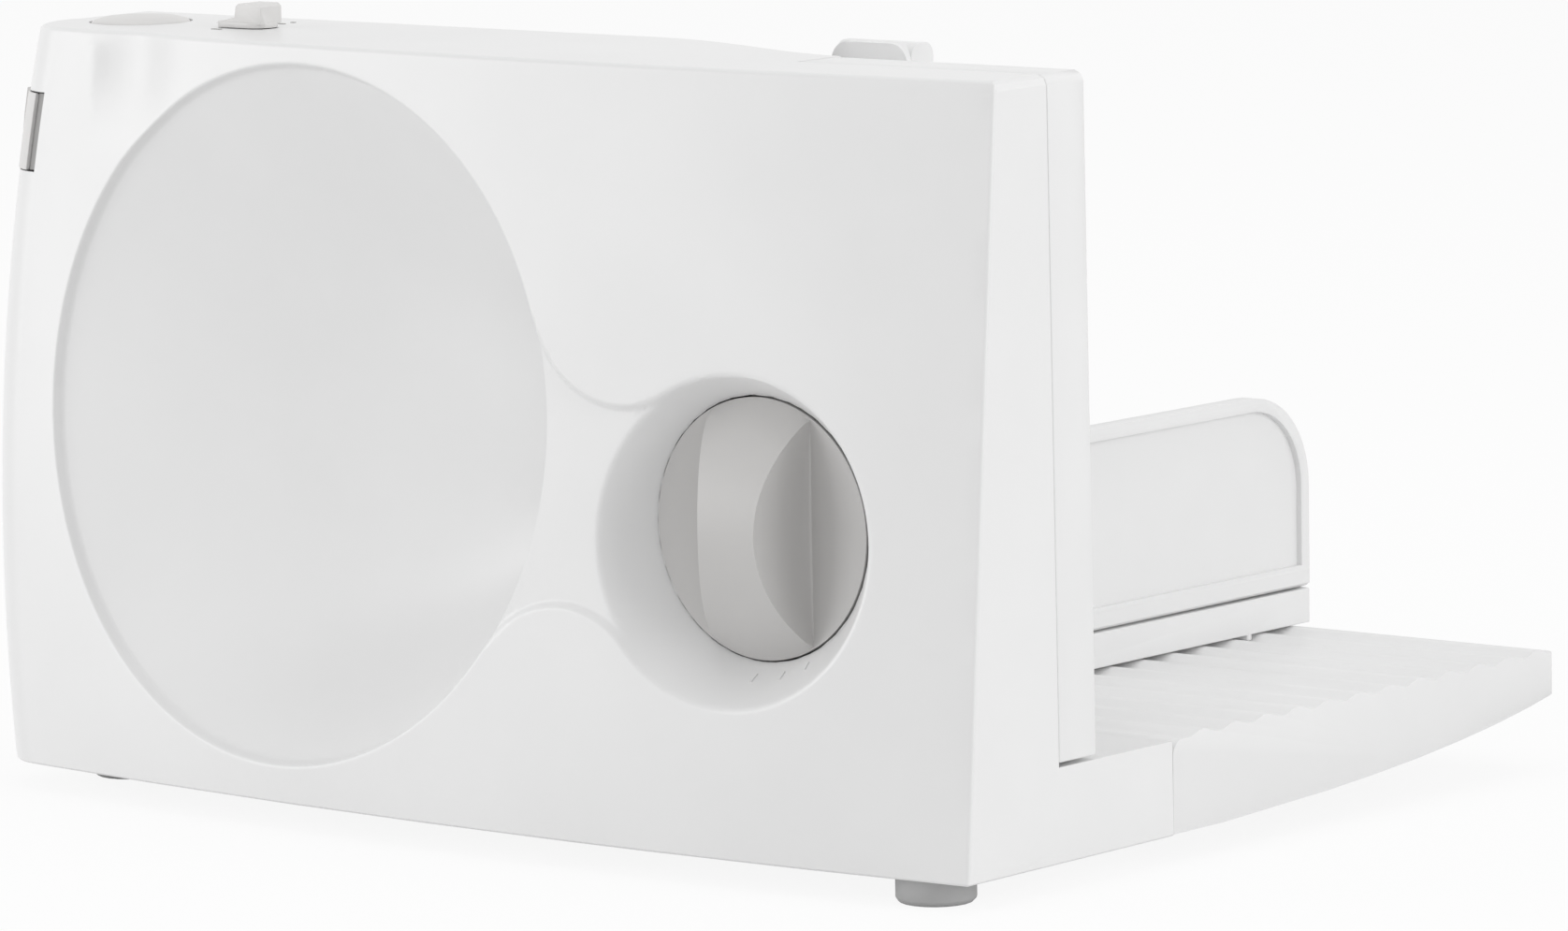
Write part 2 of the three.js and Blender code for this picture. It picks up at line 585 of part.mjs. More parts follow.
function foldingTable() {
  const skirt = prism('x', skirtProfile(), TABLE_LEFT, TABLE_RIGHT, 8);
  const left = TABLE_LEFT + TABLE_SKIRT;
  const right = TABLE_RIGHT - TABLE_SKIRT;
  const beam = HINGE_Y + HINGE_INSET;
  const inside = box(left, right, beam + 2, TABLE_FAR - TABLE_SKIRT, 0, TABLE_TOP - TABLE_PLATE);
  const beamRoom = box(left, right, TABLE_NEAR + TABLE_SKIRT, beam + 3, 0, HINGE_Z - HINGE_INSET - 1);
  const top = prism('x', tableProfile(), TABLE_LEFT, TABLE_RIGHT);
  let table = skirt.subtract(inside).subtract(beamRoom).add(top);
  for (const [x, y] of LEG_SPOTS) {
    table = table.add(rod('z', x, y, LEG_RADIUS, TABLE_FOOT_HEIGHT + GAP, TABLE_TOP - 1))
      .subtract(rod('z', x, y, FOOT_STEM + GAP, 0, TABLE_FOOT_HEIGHT + 5, 7));
  }
  for (const x of LUG_XS) {
    const half = LUG_WIDTH / 2 + 0.4;
    const pinHalf = LUG_WIDTH + GAP;
    table = table
      .subtract(box(x - half, x + half, 0, HINGE_Y + HINGE_INSET + 1.5, 0, far))
      .subtract(rod('x', HINGE_Y, HINGE_Z, HINGE_PIN_RADIUS + GAP, x - pinHalf, x + pinHalf));
  }
  return table;
}

function gearOutline() {
  const points = [];
  const root = GEAR_RADIUS - TOOTH_HEIGHT / 2;
  const tip = GEAR_RADIUS + TOOTH_HEIGHT / 2 - 0.3;
  const pitch = 2 * Math.PI / GEAR_TEETH;
  for (let tooth = 0; tooth < GEAR_TEETH; tooth += 1) {
    for (const [at, radius] of [[-0.24, root], [-0.1, tip], [0.1, tip], [0.24, root]]) {
      const turn = (tooth + at) * pitch;
      points.push([BLADE_X + radius * Math.cos(turn), BLADE_Z + radius * Math.sin(turn)]);
    }
  }
  return shapeOf(points);
}

// One helical ridge whose gaps face the gear's teeth at the gear's height
function wormThread(core, low, high) {
  const lead = Math.PI * GEAR_MODULE;
  const turns = Math.floor((high - low) / lead) - 1;
  const middle = (low + high) / 2;
  const steps = turns * 9;
  const outer = WORM_RADIUS + TOOTH_HEIGHT / 2 - 0.3;
  const rings = [];
  for (let k = 0; k <= steps; k += 1) {
    const along = (k / steps - 0.5) * turns;
    const turn = 2 * Math.PI * along;
    const z = middle + lead * (along + 0.5);
    const ring = [[core - 0.6, -0.22], [core - 0.6, 0.22], [outer, 0.1], [outer, -0.1]].map(
      ([r, at]) => vec(WORM_X + r * Math.cos(turn), WORM_Y + r * Math.sin(turn), z + at * lead),
    );
    rings.push(ring);
  }
  return loft(rings);
}

// A coil spring standing on the point given, along z or x
function coil(radius, wire, length, turns, axis, at) {
  const perTurn = 8;
  const steps = turns * perTurn;
  const sides = 4;
  const rings = [];
  for (let k = 0; k <= steps; k += 1) {
    const turn = (2 * Math.PI * k) / perTurn;
    const rise = wire + ((length - 2 * wire) * k) / steps;
    const ring = [];
    for (let side = 0; side < sides; side += 1) {
      const around = (2 * Math.PI * side) / sides;
      const r = radius + wire * Math.cos(around);
      const z = rise + wire * Math.sin(around);
      const p = vec(r * Math.cos(turn), r * Math.sin(turn), z);
      ring.push(axis === 'z' ? p.add(at) : vec(at.x + p.z, at.y + p.x, at.z + p.y));
    }
    rings.push(ring);
  }
  return loft(rings);
}

function knobBody() {
  const body = turned('y', [
    [0, KNOB_RIM_Y], [KNOB_RADIUS - 0.8, KNOB_RIM_Y], [KNOB_RADIUS, KNOB_RIM_Y + 0.8],
    [KNOB_RADIUS, KNOB_BACK], [0, KNOB_BACK],
  ], KNOB_X, 0, KNOB_Z, 32);
  const rings = [];
  const crease = 15.7;
  const waist = 8.6;
  const steps = 12;
  for (let k = 0; k <= steps; k += 1) {
    const z = THREE.MathUtils.lerp(-KNOB_RADIUS, KNOB_RADIUS, k / steps);
    const end = (z / KNOB_RADIUS) ** 2;
    const half = Math.min(waist + (crease - waist) * end, crease - 0.2);
    const rise = KNOB_GRIP_HEIGHT * (1 - 0.93 * end);
    const front = KNOB_RIM_Y - rise;
    const shoulder = front + 0.16 * rise;
    rings.push([[-crease, KNOB_RIM_Y + 2], [crease, KNOB_RIM_Y + 2], [crease, KNOB_RIM_Y - 0.2],
      [half + 1.5, shoulder], [half - 3, front], [3 - half, front], [-half - 1.5, shoulder],
      [-crease, KNOB_RIM_Y - 0.2]].map(([x, y]) => vec(KNOB_X + x, y, KNOB_Z + z)));
  }
  const grip = loft(rings).intersect(rod('y', KNOB_X, KNOB_Z, KNOB_RADIUS - 0.4, -far, KNOB_BACK, 22));
  return body.add(grip).subtract(rod('y', KNOB_X, KNOB_Z, SPINDLE_RADIUS - 2 + GAP, KNOB_BACK - 6, far));
}

function foodHolder() {
  const bottom = HOLDER_PIVOT_Z - 4;
  const top = bottom + HOLDER_HEIGHT;
  const shoulder = bottom + 0.55 * HOLDER_HEIGHT;
  const edge = bottom + 9.5;
  const outline = new THREE.Shape();
  outline.moveTo(HOLDER_LEFT, edge);
  outline.lineTo(HOLDER_RIGHT, edge);
  outline.absarc(HOLDER_RIGHT - 6, shoulder - 6, 6, 0, Math.PI / 2);
  outline.absarc(GRIP_RIGHT + 6, shoulder + 6, 6, 1.5 * Math.PI, Math.PI, true);
  outline.absarc(GRIP_RIGHT - 5, top - 5, 5, 0, Math.PI / 2);
  outline.absarc(GRIP_LEFT + 5, top - 5, 5, Math.PI / 2, Math.PI);
  outline.absarc(GRIP_LEFT - 12, shoulder + 12, 12, 0, -Math.PI / 2, true);
  outline.absarc(HOLDER_LEFT + 8, shoulder - 8, 8, Math.PI / 2, Math.PI);
  const front = HOLDER_Y - HOLDER_THICKNESS / 2;
  const back = HOLDER_Y + HOLDER_THICKNESS / 2;
  let holder = prism('y', outline, front, back, 5);
  const grip = rounded(back - 3, back + 6, top - GRIP_HEIGHT, top, 3.5);
  holder = holder.add(prism('x', grip, GRIP_LEFT, GRIP_RIGHT, 5));
  for (let row = 0; row < 3; row += 1) {
    for (let column = 0; column < 3; column += 1) {
      const x = THREE.MathUtils.lerp(HOLDER_LEFT + 12, HOLDER_RIGHT - 12, column / 2);
      const z = THREE.MathUtils.lerp(edge + 12, shoulder - 18, row / 2);
      const spike = turned('y', [[0, front - SPIKE_LENGTH], [1.6, front + 1], [0, front + 1]], x, 0, z, 6);
      holder = holder.add(spike);
    }
  }
  const earLeft = GRIP_LEFT + EAR_WIDTH + GAP;
  const earRight = GRIP_RIGHT - EAR_WIDTH - GAP;
  const ear = rod('x', HOLDER_Y, HOLDER_PIVOT_Z, SHOE_PIN_RADIUS * 2, earLeft, earRight)
    .add(box(earLeft, earRight, front, back, HOLDER_PIVOT_Z, edge + 1));
  const bore = rod('x', HOLDER_Y, HOLDER_PIVOT_Z, SHOE_PIN_RADIUS + GAP, earLeft - 1, earRight + 1);
  return holder.add(ear).subtract(bore);
}

function holderShoe() {
  const low = FLOOR_TOP + GAP;
  const slide = (x0, x1) => box(x0, x1, HOLDER_Y - 8, HOLDER_Y + 4.5, low, low + 1.4);
  let shoe = slide(GRIP_LEFT, CARRIAGE_RIGHT - STRIP_WIDTH - GAP);
  const ear = rounded(HOLDER_Y - 4, HOLDER_Y + 4, low, HOLDER_PIVOT_Z + 4, 2.5);
  for (const x of [GRIP_LEFT, GRIP_RIGHT - EAR_WIDTH]) {
    shoe = shoe.add(prism('x', ear, x, x + EAR_WIDTH, 5));
  }
  const bore = rod('x', HOLDER_Y, HOLDER_PIVOT_Z, SHOE_PIN_RADIUS + GAP, GRIP_LEFT - 1, GRIP_RIGHT + 1);
  return shoe.subtract(bore);
}

function carriageBase() {
  const floor = box(CARRIAGE_LEFT, CARRIAGE_RIGHT, CARRIAGE_NEAR, CARRIAGE_FAR, FLOOR_BOTTOM, FLOOR_TOP);
  const strip = box(
    CARRIAGE_RIGHT - STRIP_WIDTH, CARRIAGE_RIGHT, CARRIAGE_NEAR, CARRIAGE_FAR, FLOOR_BOTTOM, STRIP_TOP,
  );
  let base = floor.add(strip);
  const ribs = (TABLE_FAR - HINGE_Y - 4) / RIB_COUNT;
  for (const valley of [2, RIB_COUNT - 2]) {
    const y = HINGE_Y + 2 + valley * ribs;
    base = base.add(box(CARRIAGE_LEFT, CARRIAGE_RIGHT, y - 1, y + 1, TABLE_TOP + GAP, FLOOR_TOP));
  }
  const slot = rod('y', WALL_AXIS_X, WALL_AXIS_Z, WALL_KNUCKLE + GAP, CARRIAGE_NEAR - 1, CARRIAGE_FAR + 1);
  const lip = WALL_AXIS_Z - WALL_KNUCKLE - GAP;
  const notch = box(WALL_AXIS_X, far, CARRIAGE_NEAR - 1, CARRIAGE_FAR + 1, lip, WALL_AXIS_Z + 1);
  return base.subtract(slot).subtract(notch);
}

function carriageWall() {
  const low = STRIP_TOP + GAP + WALL_KNUCKLE;
  const top = low + WALL_HEIGHT - WALL_KNUCKLE;
  const inner = CARRIAGE_RIGHT - WALL_THICKNESS;
  const outline = (margin) => {
    const near = CARRIAGE_NEAR + margin;
    const farEnd = CARRIAGE_FAR - margin;
    const corner = WALL_CORNER - margin;
    const shape = new THREE.Shape();
    shape.moveTo(near, low + margin / 2);
    shape.lineTo(farEnd, low + margin / 2);
    shape.absarc(farEnd - corner, top - margin - corner, corner, 0, Math.PI / 2);
    shape.absarc(near + corner, top - margin - corner, corner, Math.PI / 2, Math.PI);
    return shape;
  };
  const rim = 3.5;
  const panel = prism('x', outline(0), inner, CARRIAGE_RIGHT, 7)
    .subtract(prism('x', outline(rim), CARRIAGE_RIGHT - 1.6, far, 7));
  const knuckle = rod('y', WALL_AXIS_X, WALL_AXIS_Z, WALL_KNUCKLE, CARRIAGE_NEAR, CARRIAGE_FAR, 6);
  const webLeft = WALL_AXIS_X - WALL_KNUCKLE + 0.2;
  const web = box(webLeft, WALL_AXIS_X, CARRIAGE_NEAR, CARRIAGE_FAR, WALL_AXIS_Z, low + 1);
  const boreRadius = WALL_PIN_RADIUS + 0.1;
  const bore = rod('y', WALL_AXIS_X, WALL_AXIS_Z, boreRadius, CARRIAGE_NEAR - 1, CARRIAGE_FAR + 1, 5);
  return panel.add(knuckle).add(web).subtract(bore);
}

add('front_housing', frontHousing(), 'shell');

const backRoom = (x1, y0, y1) => outerBlock.intersect(box(-far, x1, y0, y1, BASE_TOP + GAP, ROOF_Z - GAP));

const drivePlate = backRoom(DUCT_RIGHT + WALL, DRIVE_PLATE_FRONT, DRIVE_PLATE_BACK)
  .subtract(box(
    DUCT_LEFT, far, 0, far, BLADE_Z - DUCT_HALF_HEIGHT, BLADE_Z + DUCT_HALF_HEIGHT,
  ))
  .subtract(rod('y', BLADE_X, BLADE_Z, BUSH_RADIUS + GAP, 0, far));
const motorScrewXs = [WORM_X - MOTOR_RADIUS - SCREW_HEAD, WORM_X + MOTOR_RADIUS + SCREW_HEAD];
const motorMiddle = (MOTOR_BOTTOM + MOTOR_TOP) / 2;
const screwBores = motorScrewXs.map((x) => rod('y', x, motorMiddle, SCREW_RADIUS + GAP, 0, far, 5));
add('drive_plate', screwBores.reduce((body, bore) => body.subtract(bore), drivePlate), 'shell');

const guard = backRoom(BLADE_X - 25, DRIVE_PLATE_BACK + GAP, DRIVE_PLATE_BACK + GAP + GUARD_DEPTH)
  .subtract(rod('y', BLADE_X, BLADE_Z, BLADE_RADIUS + 2.6, 0, far, 30));
add('blade_guard', guard, 'shell');

const plateRing = section(FOOT_HEIGHT, PLATE_INSET, BASE_DEPTH - PLATE_INSET).map((p) => [p.x, p.y]);
let bottomPlate = prism('z', shapeOf(plateRing), FOOT_HEIGHT, FOOT_HEIGHT + BOTTOM_PLATE);
for (const [x, y] of FOOT_SPOTS) {
  bottomPlate = bottomPlate.subtract(rod('z', x, y, FOOT_STEM + GAP, 0, far, 5));
}
for (const [x, y] of POST_SPOTS) {
  bottomPlate = bottomPlate
    .subtract(rod('z', x, y, SCREW_RADIUS + GAP, 0, far, 4))
    .subtract(rod('z', x, y, SCREW_HEAD + GAP, 0, FOOT_HEIGHT + BOTTOM_PLATE / 2, 5));
}
add('bottom_plate', bottomPlate, 'shell');
FOOT_SPOTS.forEach(([x, y], n) => {
  const profile = [[0, 0], [FOOT_RADIUS - 1, 0], [FOOT_RADIUS, 1], [FOOT_RADIUS, FOOT_HEIGHT - GAP / 2],
    [FOOT_STEM, FOOT_HEIGHT - GAP / 2], [FOOT_STEM, FOOT_HEIGHT + BOTTOM_PLATE],
    [0, FOOT_HEIGHT + BOTTOM_PLATE]];
  add(`foot_${n + 1}`, turned('z', profile, x, y, 0, 20), 'rubber');
});
POST_SPOTS.forEach(([x, y], n) => {
  const low = FOOT_HEIGHT + 0.2;
  const seat = FOOT_HEIGHT + BOTTOM_PLATE / 2 - 0.2;
  const profile = [[0, low], [SCREW_HEAD, low], [SCREW_HEAD, seat], [SCREW_RADIUS, seat],
    [SCREW_RADIUS, BASE_TOP - 2 * WALL], [0, BASE_TOP - 2 * WALL]];
  add(`bottom_screw_${n + 1}`, turned('z', profile, x, y, 0, 14), 'steel');
});

add('folding_table', foldingTable(), 'shell');
LEG_SPOTS.forEach(([x, y], n) => {
  const profile = [[0, 0], [LEG_RADIUS - 1, 0], [LEG_RADIUS, 1], [LEG_RADIUS, TABLE_FOOT_HEIGHT],
    [FOOT_STEM, TABLE_FOOT_HEIGHT], [FOOT_STEM, TABLE_FOOT_HEIGHT + 4], [0, TABLE_FOOT_HEIGHT + 4]];
  add(`table_foot_${n + 1}`, turned('z', profile, x, y, 0, 20), 'rubber');
});
LUG_XS.forEach((x, n) => {
  const pin = rod('x', HINGE_Y, HINGE_Z, HINGE_PIN_RADIUS, x - LUG_WIDTH, x + LUG_WIDTH, 7);
  add(`hinge_pin_${n + 1}`, pin, 'steel');
});

add('carriage_base', carriageBase(), 'shell');
add('carriage_wall', carriageWall(), 'shell');
const wallPin = rod('y', WALL_AXIS_X, WALL_AXIS_Z, WALL_PIN_RADIUS, CARRIAGE_NEAR + 1, CARRIAGE_FAR - 1, 5);
add('carriage_wall_pin', wallPin, 'steel');
add('holder_shoe', holderShoe(), 'clear');
add('food_holder', foodHolder(), 'clear');
const shoePin = rod('x', HOLDER_Y, HOLDER_PIVOT_Z, SHOE_PIN_RADIUS, GRIP_LEFT + 1, GRIP_RIGHT - 1, 5);
add('holder_pin', shoePin, 'steel');

const stopBottom = BASE_TOP + STOP_LIFT;
const stopRoom = (inset, y0, y1) => box(
  STOP_LEFT + inset, far, y0, y1, stopBottom + inset, ROOF_Z - GAP - inset,
).add(box(ROOF_END + GAP + inset, far, y0, y1, stopBottom + inset, far));
const stopHollow = bodyBlock(WALL, 0, TOP - WALL, 0).intersect(stopRoom(WALL, 0, STOP_BACK - WALL));
add('stop_plate', outerBlock.intersect(stopRoom(0, STOP_FRONT, STOP_BACK)).subtract(stopHollow), 'shell');
GUIDE_RODS.forEach(([x, z], n) => {
  const bar = rod('y', x, z, ROD_RADIUS, STOP_WALL - ROD_REACH, STOP_BACK - WALL - GAP, 8);
  add(`guide_rod_${n + 1}`, bar, 'steel');
});

const nutFront = POCKET_WALL_BACK + 4;
const nutBack = STOP_BACK - WALL - GAP;
const nutFlange = NUT_RADIUS / 6;
const nutProfile = [[SPINDLE_RADIUS + GAP, nutFront], [NUT_RADIUS, nutFront],
  [NUT_RADIUS, nutBack - nutFlange],
  [4 / 3 * NUT_RADIUS, nutBack - nutFlange], [4 / 3 * NUT_RADIUS, nutBack], [SPINDLE_RADIUS + GAP, nutBack],
  [SPINDLE_RADIUS + GAP, nutFront]];
add('cam_nut', turned('y', nutProfile, KNOB_X, 0, KNOB_Z), 'nylon');
const spindleNose = SPINDLE_RADIUS - 2;
const noseFront = KNOB_BACK - 5.7;
const spindleProfile = [[0, noseFront], [spindleNose, noseFront], [spindleNose, KNOB_BACK + GAP],
  [SPINDLE_RADIUS, KNOB_BACK + GAP], [SPINDLE_RADIUS, nutBack - 0.4], [0, nutBack - 0.4]];
add('cam_spindle', turned('y', spindleProfile, KNOB_X, 0, KNOB_Z), 'nylon');
const clipFront = POCKET_WALL_BACK + GAP;
const clipProfile = [[SPINDLE_RADIUS + 0.1, clipFront], [SPINDLE_RADIUS + 3, clipFront],
  [SPINDLE_RADIUS + 3, clipFront + 1.2], [SPINDLE_RADIUS + 0.1, clipFront + 1.2],
  [SPINDLE_RADIUS + 0.1, clipFront]];
add('spindle_clip', turned('y', clipProfile, KNOB_X, 0, KNOB_Z), 'steel');
add('thickness_knob', knobBody(), 'grey');

const bladeFront = BLADE_PLANE - BLADE_THICKNESS;
const bladeProfile = [[HUB_RADIUS + GAP, bladeFront], [BLADE_RADIUS - 9, bladeFront],
  [BLADE_RADIUS, BLADE_PLANE - 0.25], [BLADE_RADIUS, BLADE_PLANE], [HUB_RADIUS + GAP, BLADE_PLANE],
  [HUB_RADIUS + GAP, bladeFront]];
add('blade', turned('y', bladeProfile, BLADE_X, 0, BLADE_Z, 64), 'steel');
const flange = DRIVE_PLATE_BACK + GAP;
const axleProfile = [[0, GEAR_FRONT], [AXLE_RADIUS, GEAR_FRONT], [AXLE_RADIUS, flange],
  [FLANGE_RADIUS, flange], [FLANGE_RADIUS, bladeFront - GAP], [HUB_RADIUS, bladeFront - GAP],
  [HUB_RADIUS, BLADE_PLANE + 1.5],
  [0, BLADE_PLANE + 1.5]];
add('blade_axle', turned('y', axleProfile, BLADE_X, 0, BLADE_Z), 'steel');
const lockBack = BLADE_PLANE + GAP + LOCK_HEIGHT;
const lockProfile = [[0, BLADE_PLANE + 1.8], [HUB_RADIUS + GAP, BLADE_PLANE + 1.8],
  [HUB_RADIUS + GAP, BLADE_PLANE + GAP], [LOCK_RADIUS, BLADE_PLANE + GAP], [LOCK_RADIUS, lockBack - 2.5],
  [LOCK_RADIUS - 2.5, lockBack], [0, lockBack]];
const lockBar = LOCK_RADIUS - 3;
const lockGrip = box(
  BLADE_X - 3, BLADE_X + 3, lockBack - 1, lockBack + 3, BLADE_Z - lockBar, BLADE_Z + lockBar,
);
add('blade_lock', turned('y', lockProfile, BLADE_X, 0, BLADE_Z).add(lockGrip), 'grey');
const gearBore = rod('y', BLADE_X, BLADE_Z, AXLE_RADIUS + GAP, 0, far);
add('drive_gear', prism('y', gearOutline(), GEAR_FRONT, GEAR_BACK).subtract(gearBore), 'nylon');
const bushFront = GEAR_BACK + 0.5;
const bushProfile = [[AXLE_RADIUS + GAP, bushFront], [BUSH_RADIUS + 4, bushFront],
  [BUSH_RADIUS + 4, DRIVE_PLATE_FRONT - GAP], [BUSH_RADIUS, DRIVE_PLATE_FRONT - GAP],
  [BUSH_RADIUS, DRIVE_PLATE_BACK], [AXLE_RADIUS + GAP, DRIVE_PLATE_BACK], [AXLE_RADIUS + GAP, bushFront]];
add('axle_bush', turned('y', bushProfile, BLADE_X, 0, BLADE_Z), 'brass');

const wormLow = BLADE_Z - WORM_HALF;
const wormHigh = BLADE_Z + WORM_HALF;
const wormCore = WORM_RADIUS - TOOTH_HEIGHT / 2 - 0.2;
const shaftBore = rod('z', WORM_X, WORM_Y, MOTOR_SHAFT_RADIUS + GAP, 0, far, 6);
const worm = rod('z', WORM_X, WORM_Y, wormCore, wormLow, wormHigh, 8)
  .add(wormThread(wormCore, wormLow, wormHigh)).subtract(shaftBore);
add('worm', worm, 'brass');
const shaft = rod('z', WORM_X, WORM_Y, MOTOR_SHAFT_RADIUS, MOTOR_BOTTOM + 8, wormHigh + 7, 6);
add('motor_shaft', shaft, 'steel');
const can = turned('z', [[0, MOTOR_BOTTOM], [MOTOR_RADIUS, MOTOR_BOTTOM], [MOTOR_RADIUS, MOTOR_TOP - 1.5],
  [MOTOR_RADIUS - 1.5, MOTOR_TOP], [0, MOTOR_TOP]], WORM_X, WORM_Y, 0)
  .subtract(rod('z', WORM_X, WORM_Y, MOTOR_SHAFT_RADIUS + GAP, MOTOR_BOTTOM + 7, far, 6));
add('motor_can', can, 'steel');
const capTop = MOTOR_BOTTOM - GAP;
const capBottom = capTop - MOTOR_RADIUS / 4;
const tab = MOTOR_RADIUS / 10;
let cap = rod('z', WORM_X, WORM_Y, MOTOR_RADIUS - 0.5, capBottom, capTop);
for (const x of [WORM_X - MOTOR_RADIUS / 2, WORM_X + MOTOR_RADIUS / 2]) {
  const low = capBottom - 2 * tab;
  cap = cap.add(box(x - tab, x + tab, WORM_Y - tab / 3, WORM_Y + tab / 3, low, capBottom + tab));
}
add('motor_cap', cap, 'dark');
const bracketFront = WORM_Y + 0.43 * MOTOR_RADIUS;
const bracketHalf = MOTOR_RADIUS + 2 * SCREW_HEAD;
const bracketRise = 0.85 * MOTOR_RADIUS;
const bracket = box(
  WORM_X - bracketHalf, WORM_X + bracketHalf, bracketFront, HOUSING_BACK,
  motorMiddle - bracketRise, motorMiddle + bracketRise,
).subtract(rod('z', WORM_X, WORM_Y, MOTOR_RADIUS + GAP, 0, far, 14));
add('motor_bracket', screwBores.reduce((body, bore) => body.subtract(bore), bracket), 'dark');
motorScrewXs.forEach((x, n) => {
  const head = bracketFront - GAP;
  const profile = [[0, head - 1.8], [SCREW_HEAD, head - 1.8], [SCREW_HEAD, head], [SCREW_RADIUS, head],
    [SCREW_RADIUS, DRIVE_PLATE_BACK - 0.2], [0, DRIVE_PLATE_BACK - 0.2]];
  add(`motor_screw_${n + 1}`, turned('y', profile, x, 0, motorMiddle, 14), 'steel');
});
const bearing = box(WORM_X - 7, WORM_X + 7, WORM_Y - 7, HOUSING_BACK, wormHigh + 1.5, wormHigh + 7);
add('worm_bearing', bearing.subtract(shaftBore), 'brass');

const switchBody = box(
  BUTTON_X - SWITCH_HALF, BUTTON_X + SWITCH_HALF, BUTTON_Y - 2 * BUTTON_STEM, HOUSING_BACK,
  SWITCH_TOP - SWITCH_HEIGHT, SWITCH_TOP,
);
add('power_switch', switchBody, 'dark');
const buttonBase = TOP - BUTTON_THICKNESS;
const stemLow = SWITCH_TOP + BUTTON_TRAVEL + 5 * GAP;
const buttonProfile = [[0, stemLow], [BUTTON_STEM, stemLow], [BUTTON_STEM, buttonBase],
  [BUTTON_RADIUS, buttonBase],
  [BUTTON_RADIUS, TOP - BUTTON_DOME / 3], [0.94 * BUTTON_RADIUS, TOP + BUTTON_DOME / 4],
  [0.7 * BUTTON_RADIUS, TOP + 0.7 * BUTTON_DOME], [0, TOP + BUTTON_DOME]];
add('push_button', turned('z', buttonProfile, BUTTON_X, BUTTON_Y, 0), 'grey');
const springSeat = vec(BUTTON_X, BUTTON_Y, SWITCH_TOP + GAP);
const springLength = buttonBase - SWITCH_TOP - 2 * GAP;
add('push_button_spring', coil(1.5 * BUTTON_STEM, 0.5, springLength, 6, 'z', springSeat), 'steel');

const sideRoom = box(
  -far, SIDE_BUTTON_INNER, SIDE_BUTTON_Y - SIDE_BUTTON_HALF_Y, SIDE_BUTTON_Y + SIDE_BUTTON_HALF_Y,
  SIDE_BUTTON_Z - SIDE_BUTTON_HALF_Z, SIDE_BUTTON_Z + SIDE_BUTTON_HALF_Z,
);
add('side_button', bodyBlock(-SIDE_BUTTON_PROUD, FOOT_HEIGHT, TOP, 0).intersect(sideRoom), 'grey');
const sideSeat = vec(SIDE_BUTTON_INNER + GAP, SIDE_BUTTON_Y, SIDE_BUTTON_Z);
const sideLength = SIDE_STOP - SIDE_BUTTON_INNER - 2 * GAP;
add('side_button_spring', coil(3.6, 0.4, sideLength, 4, 'x', sideSeat), 'steel');

const leverPlan = rounded(LEVER_X - 8, LEVER_X + 9, LEVER_Y - 5, LEVER_Y + 5, 4.8);
const leverBase = prism('z', leverPlan, TOP + GAP, TOP + 2, 5);
const leverRamp = shapeOf([[LEVER_X - 7, TOP + 1.5], [LEVER_X + 8.5, TOP + 1.5], [LEVER_X + 8.5, TOP + 7],
  [LEVER_X + 7.5, TOP + 8], [LEVER_X + 1, TOP + 8], [LEVER_X, TOP + 7], [LEVER_X - 0.5, TOP + 3.6]]);
const leverFoot = box(
  LEVER_X - 6, LEVER_X + 6, LEVER_Y - LEVER_STEM, LEVER_Y + LEVER_STEM, TOP - WALL - 3, TOP - WALL - 0.4,
);
const leverStem = box(
  LEVER_X - LEVER_STEM, LEVER_X + LEVER_STEM, LEVER_Y - LEVER_STEM, LEVER_Y + LEVER_STEM,
  TOP - WALL - 2, TOP + 1,
);
const lever = leverBase.add(prism('y', leverRamp, LEVER_Y - 4, LEVER_Y + 4)).add(leverFoot).add(leverStem);
add('mode_lever', lever, 'grey');

const glandWall = leftEnd(GLAND_Z + GLAND_RADIUS + 3) - GAP;
const glandProfile = [[GLAND_BORE, GLAND_INSIDE], [GLAND_RADIUS, GLAND_INSIDE], [GLAND_RADIUS, glandWall],
  [GLAND_RADIUS + 3, glandWall], [GLAND_RADIUS + 3, glandWall - 2.2], [GLAND_BORE, glandWall - 2.2],
  [GLAND_BORE, GLAND_INSIDE]];
add('cord_gland', turned('x', glandProfile, 0, GLAND_Y, GLAND_Z, 20), 'dark');

export default model;
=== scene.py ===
import json
import math

import bmesh
import bpy
from mathutils import Matrix, Vector
from mathutils.geometry import delaunay_2d_cdt


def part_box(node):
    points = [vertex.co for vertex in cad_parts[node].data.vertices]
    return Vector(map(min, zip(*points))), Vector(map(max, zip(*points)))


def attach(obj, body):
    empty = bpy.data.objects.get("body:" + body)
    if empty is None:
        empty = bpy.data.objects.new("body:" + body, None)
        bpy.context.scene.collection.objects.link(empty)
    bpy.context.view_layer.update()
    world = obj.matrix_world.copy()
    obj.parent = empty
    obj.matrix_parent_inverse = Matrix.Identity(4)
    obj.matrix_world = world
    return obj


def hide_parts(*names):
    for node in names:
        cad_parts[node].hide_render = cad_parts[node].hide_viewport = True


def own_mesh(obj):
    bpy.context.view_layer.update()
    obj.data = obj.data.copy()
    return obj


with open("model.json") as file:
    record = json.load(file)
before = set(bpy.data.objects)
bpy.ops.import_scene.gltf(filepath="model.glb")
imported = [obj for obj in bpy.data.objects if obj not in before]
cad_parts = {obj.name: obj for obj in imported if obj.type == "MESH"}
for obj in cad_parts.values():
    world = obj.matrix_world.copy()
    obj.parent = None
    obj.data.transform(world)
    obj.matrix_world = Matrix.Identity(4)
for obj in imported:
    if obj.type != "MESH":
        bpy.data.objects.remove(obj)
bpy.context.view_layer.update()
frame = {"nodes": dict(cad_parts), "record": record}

scene = bpy.context.scene
bodies = frame["record"]["behaviour"]["bodies"]
body_of_node = {node: body for body, members in bodies.items() for node in members}
slot_of_node = {entry["node"]: entry["material_slot"] for entry in frame["record"]["subparts"]}


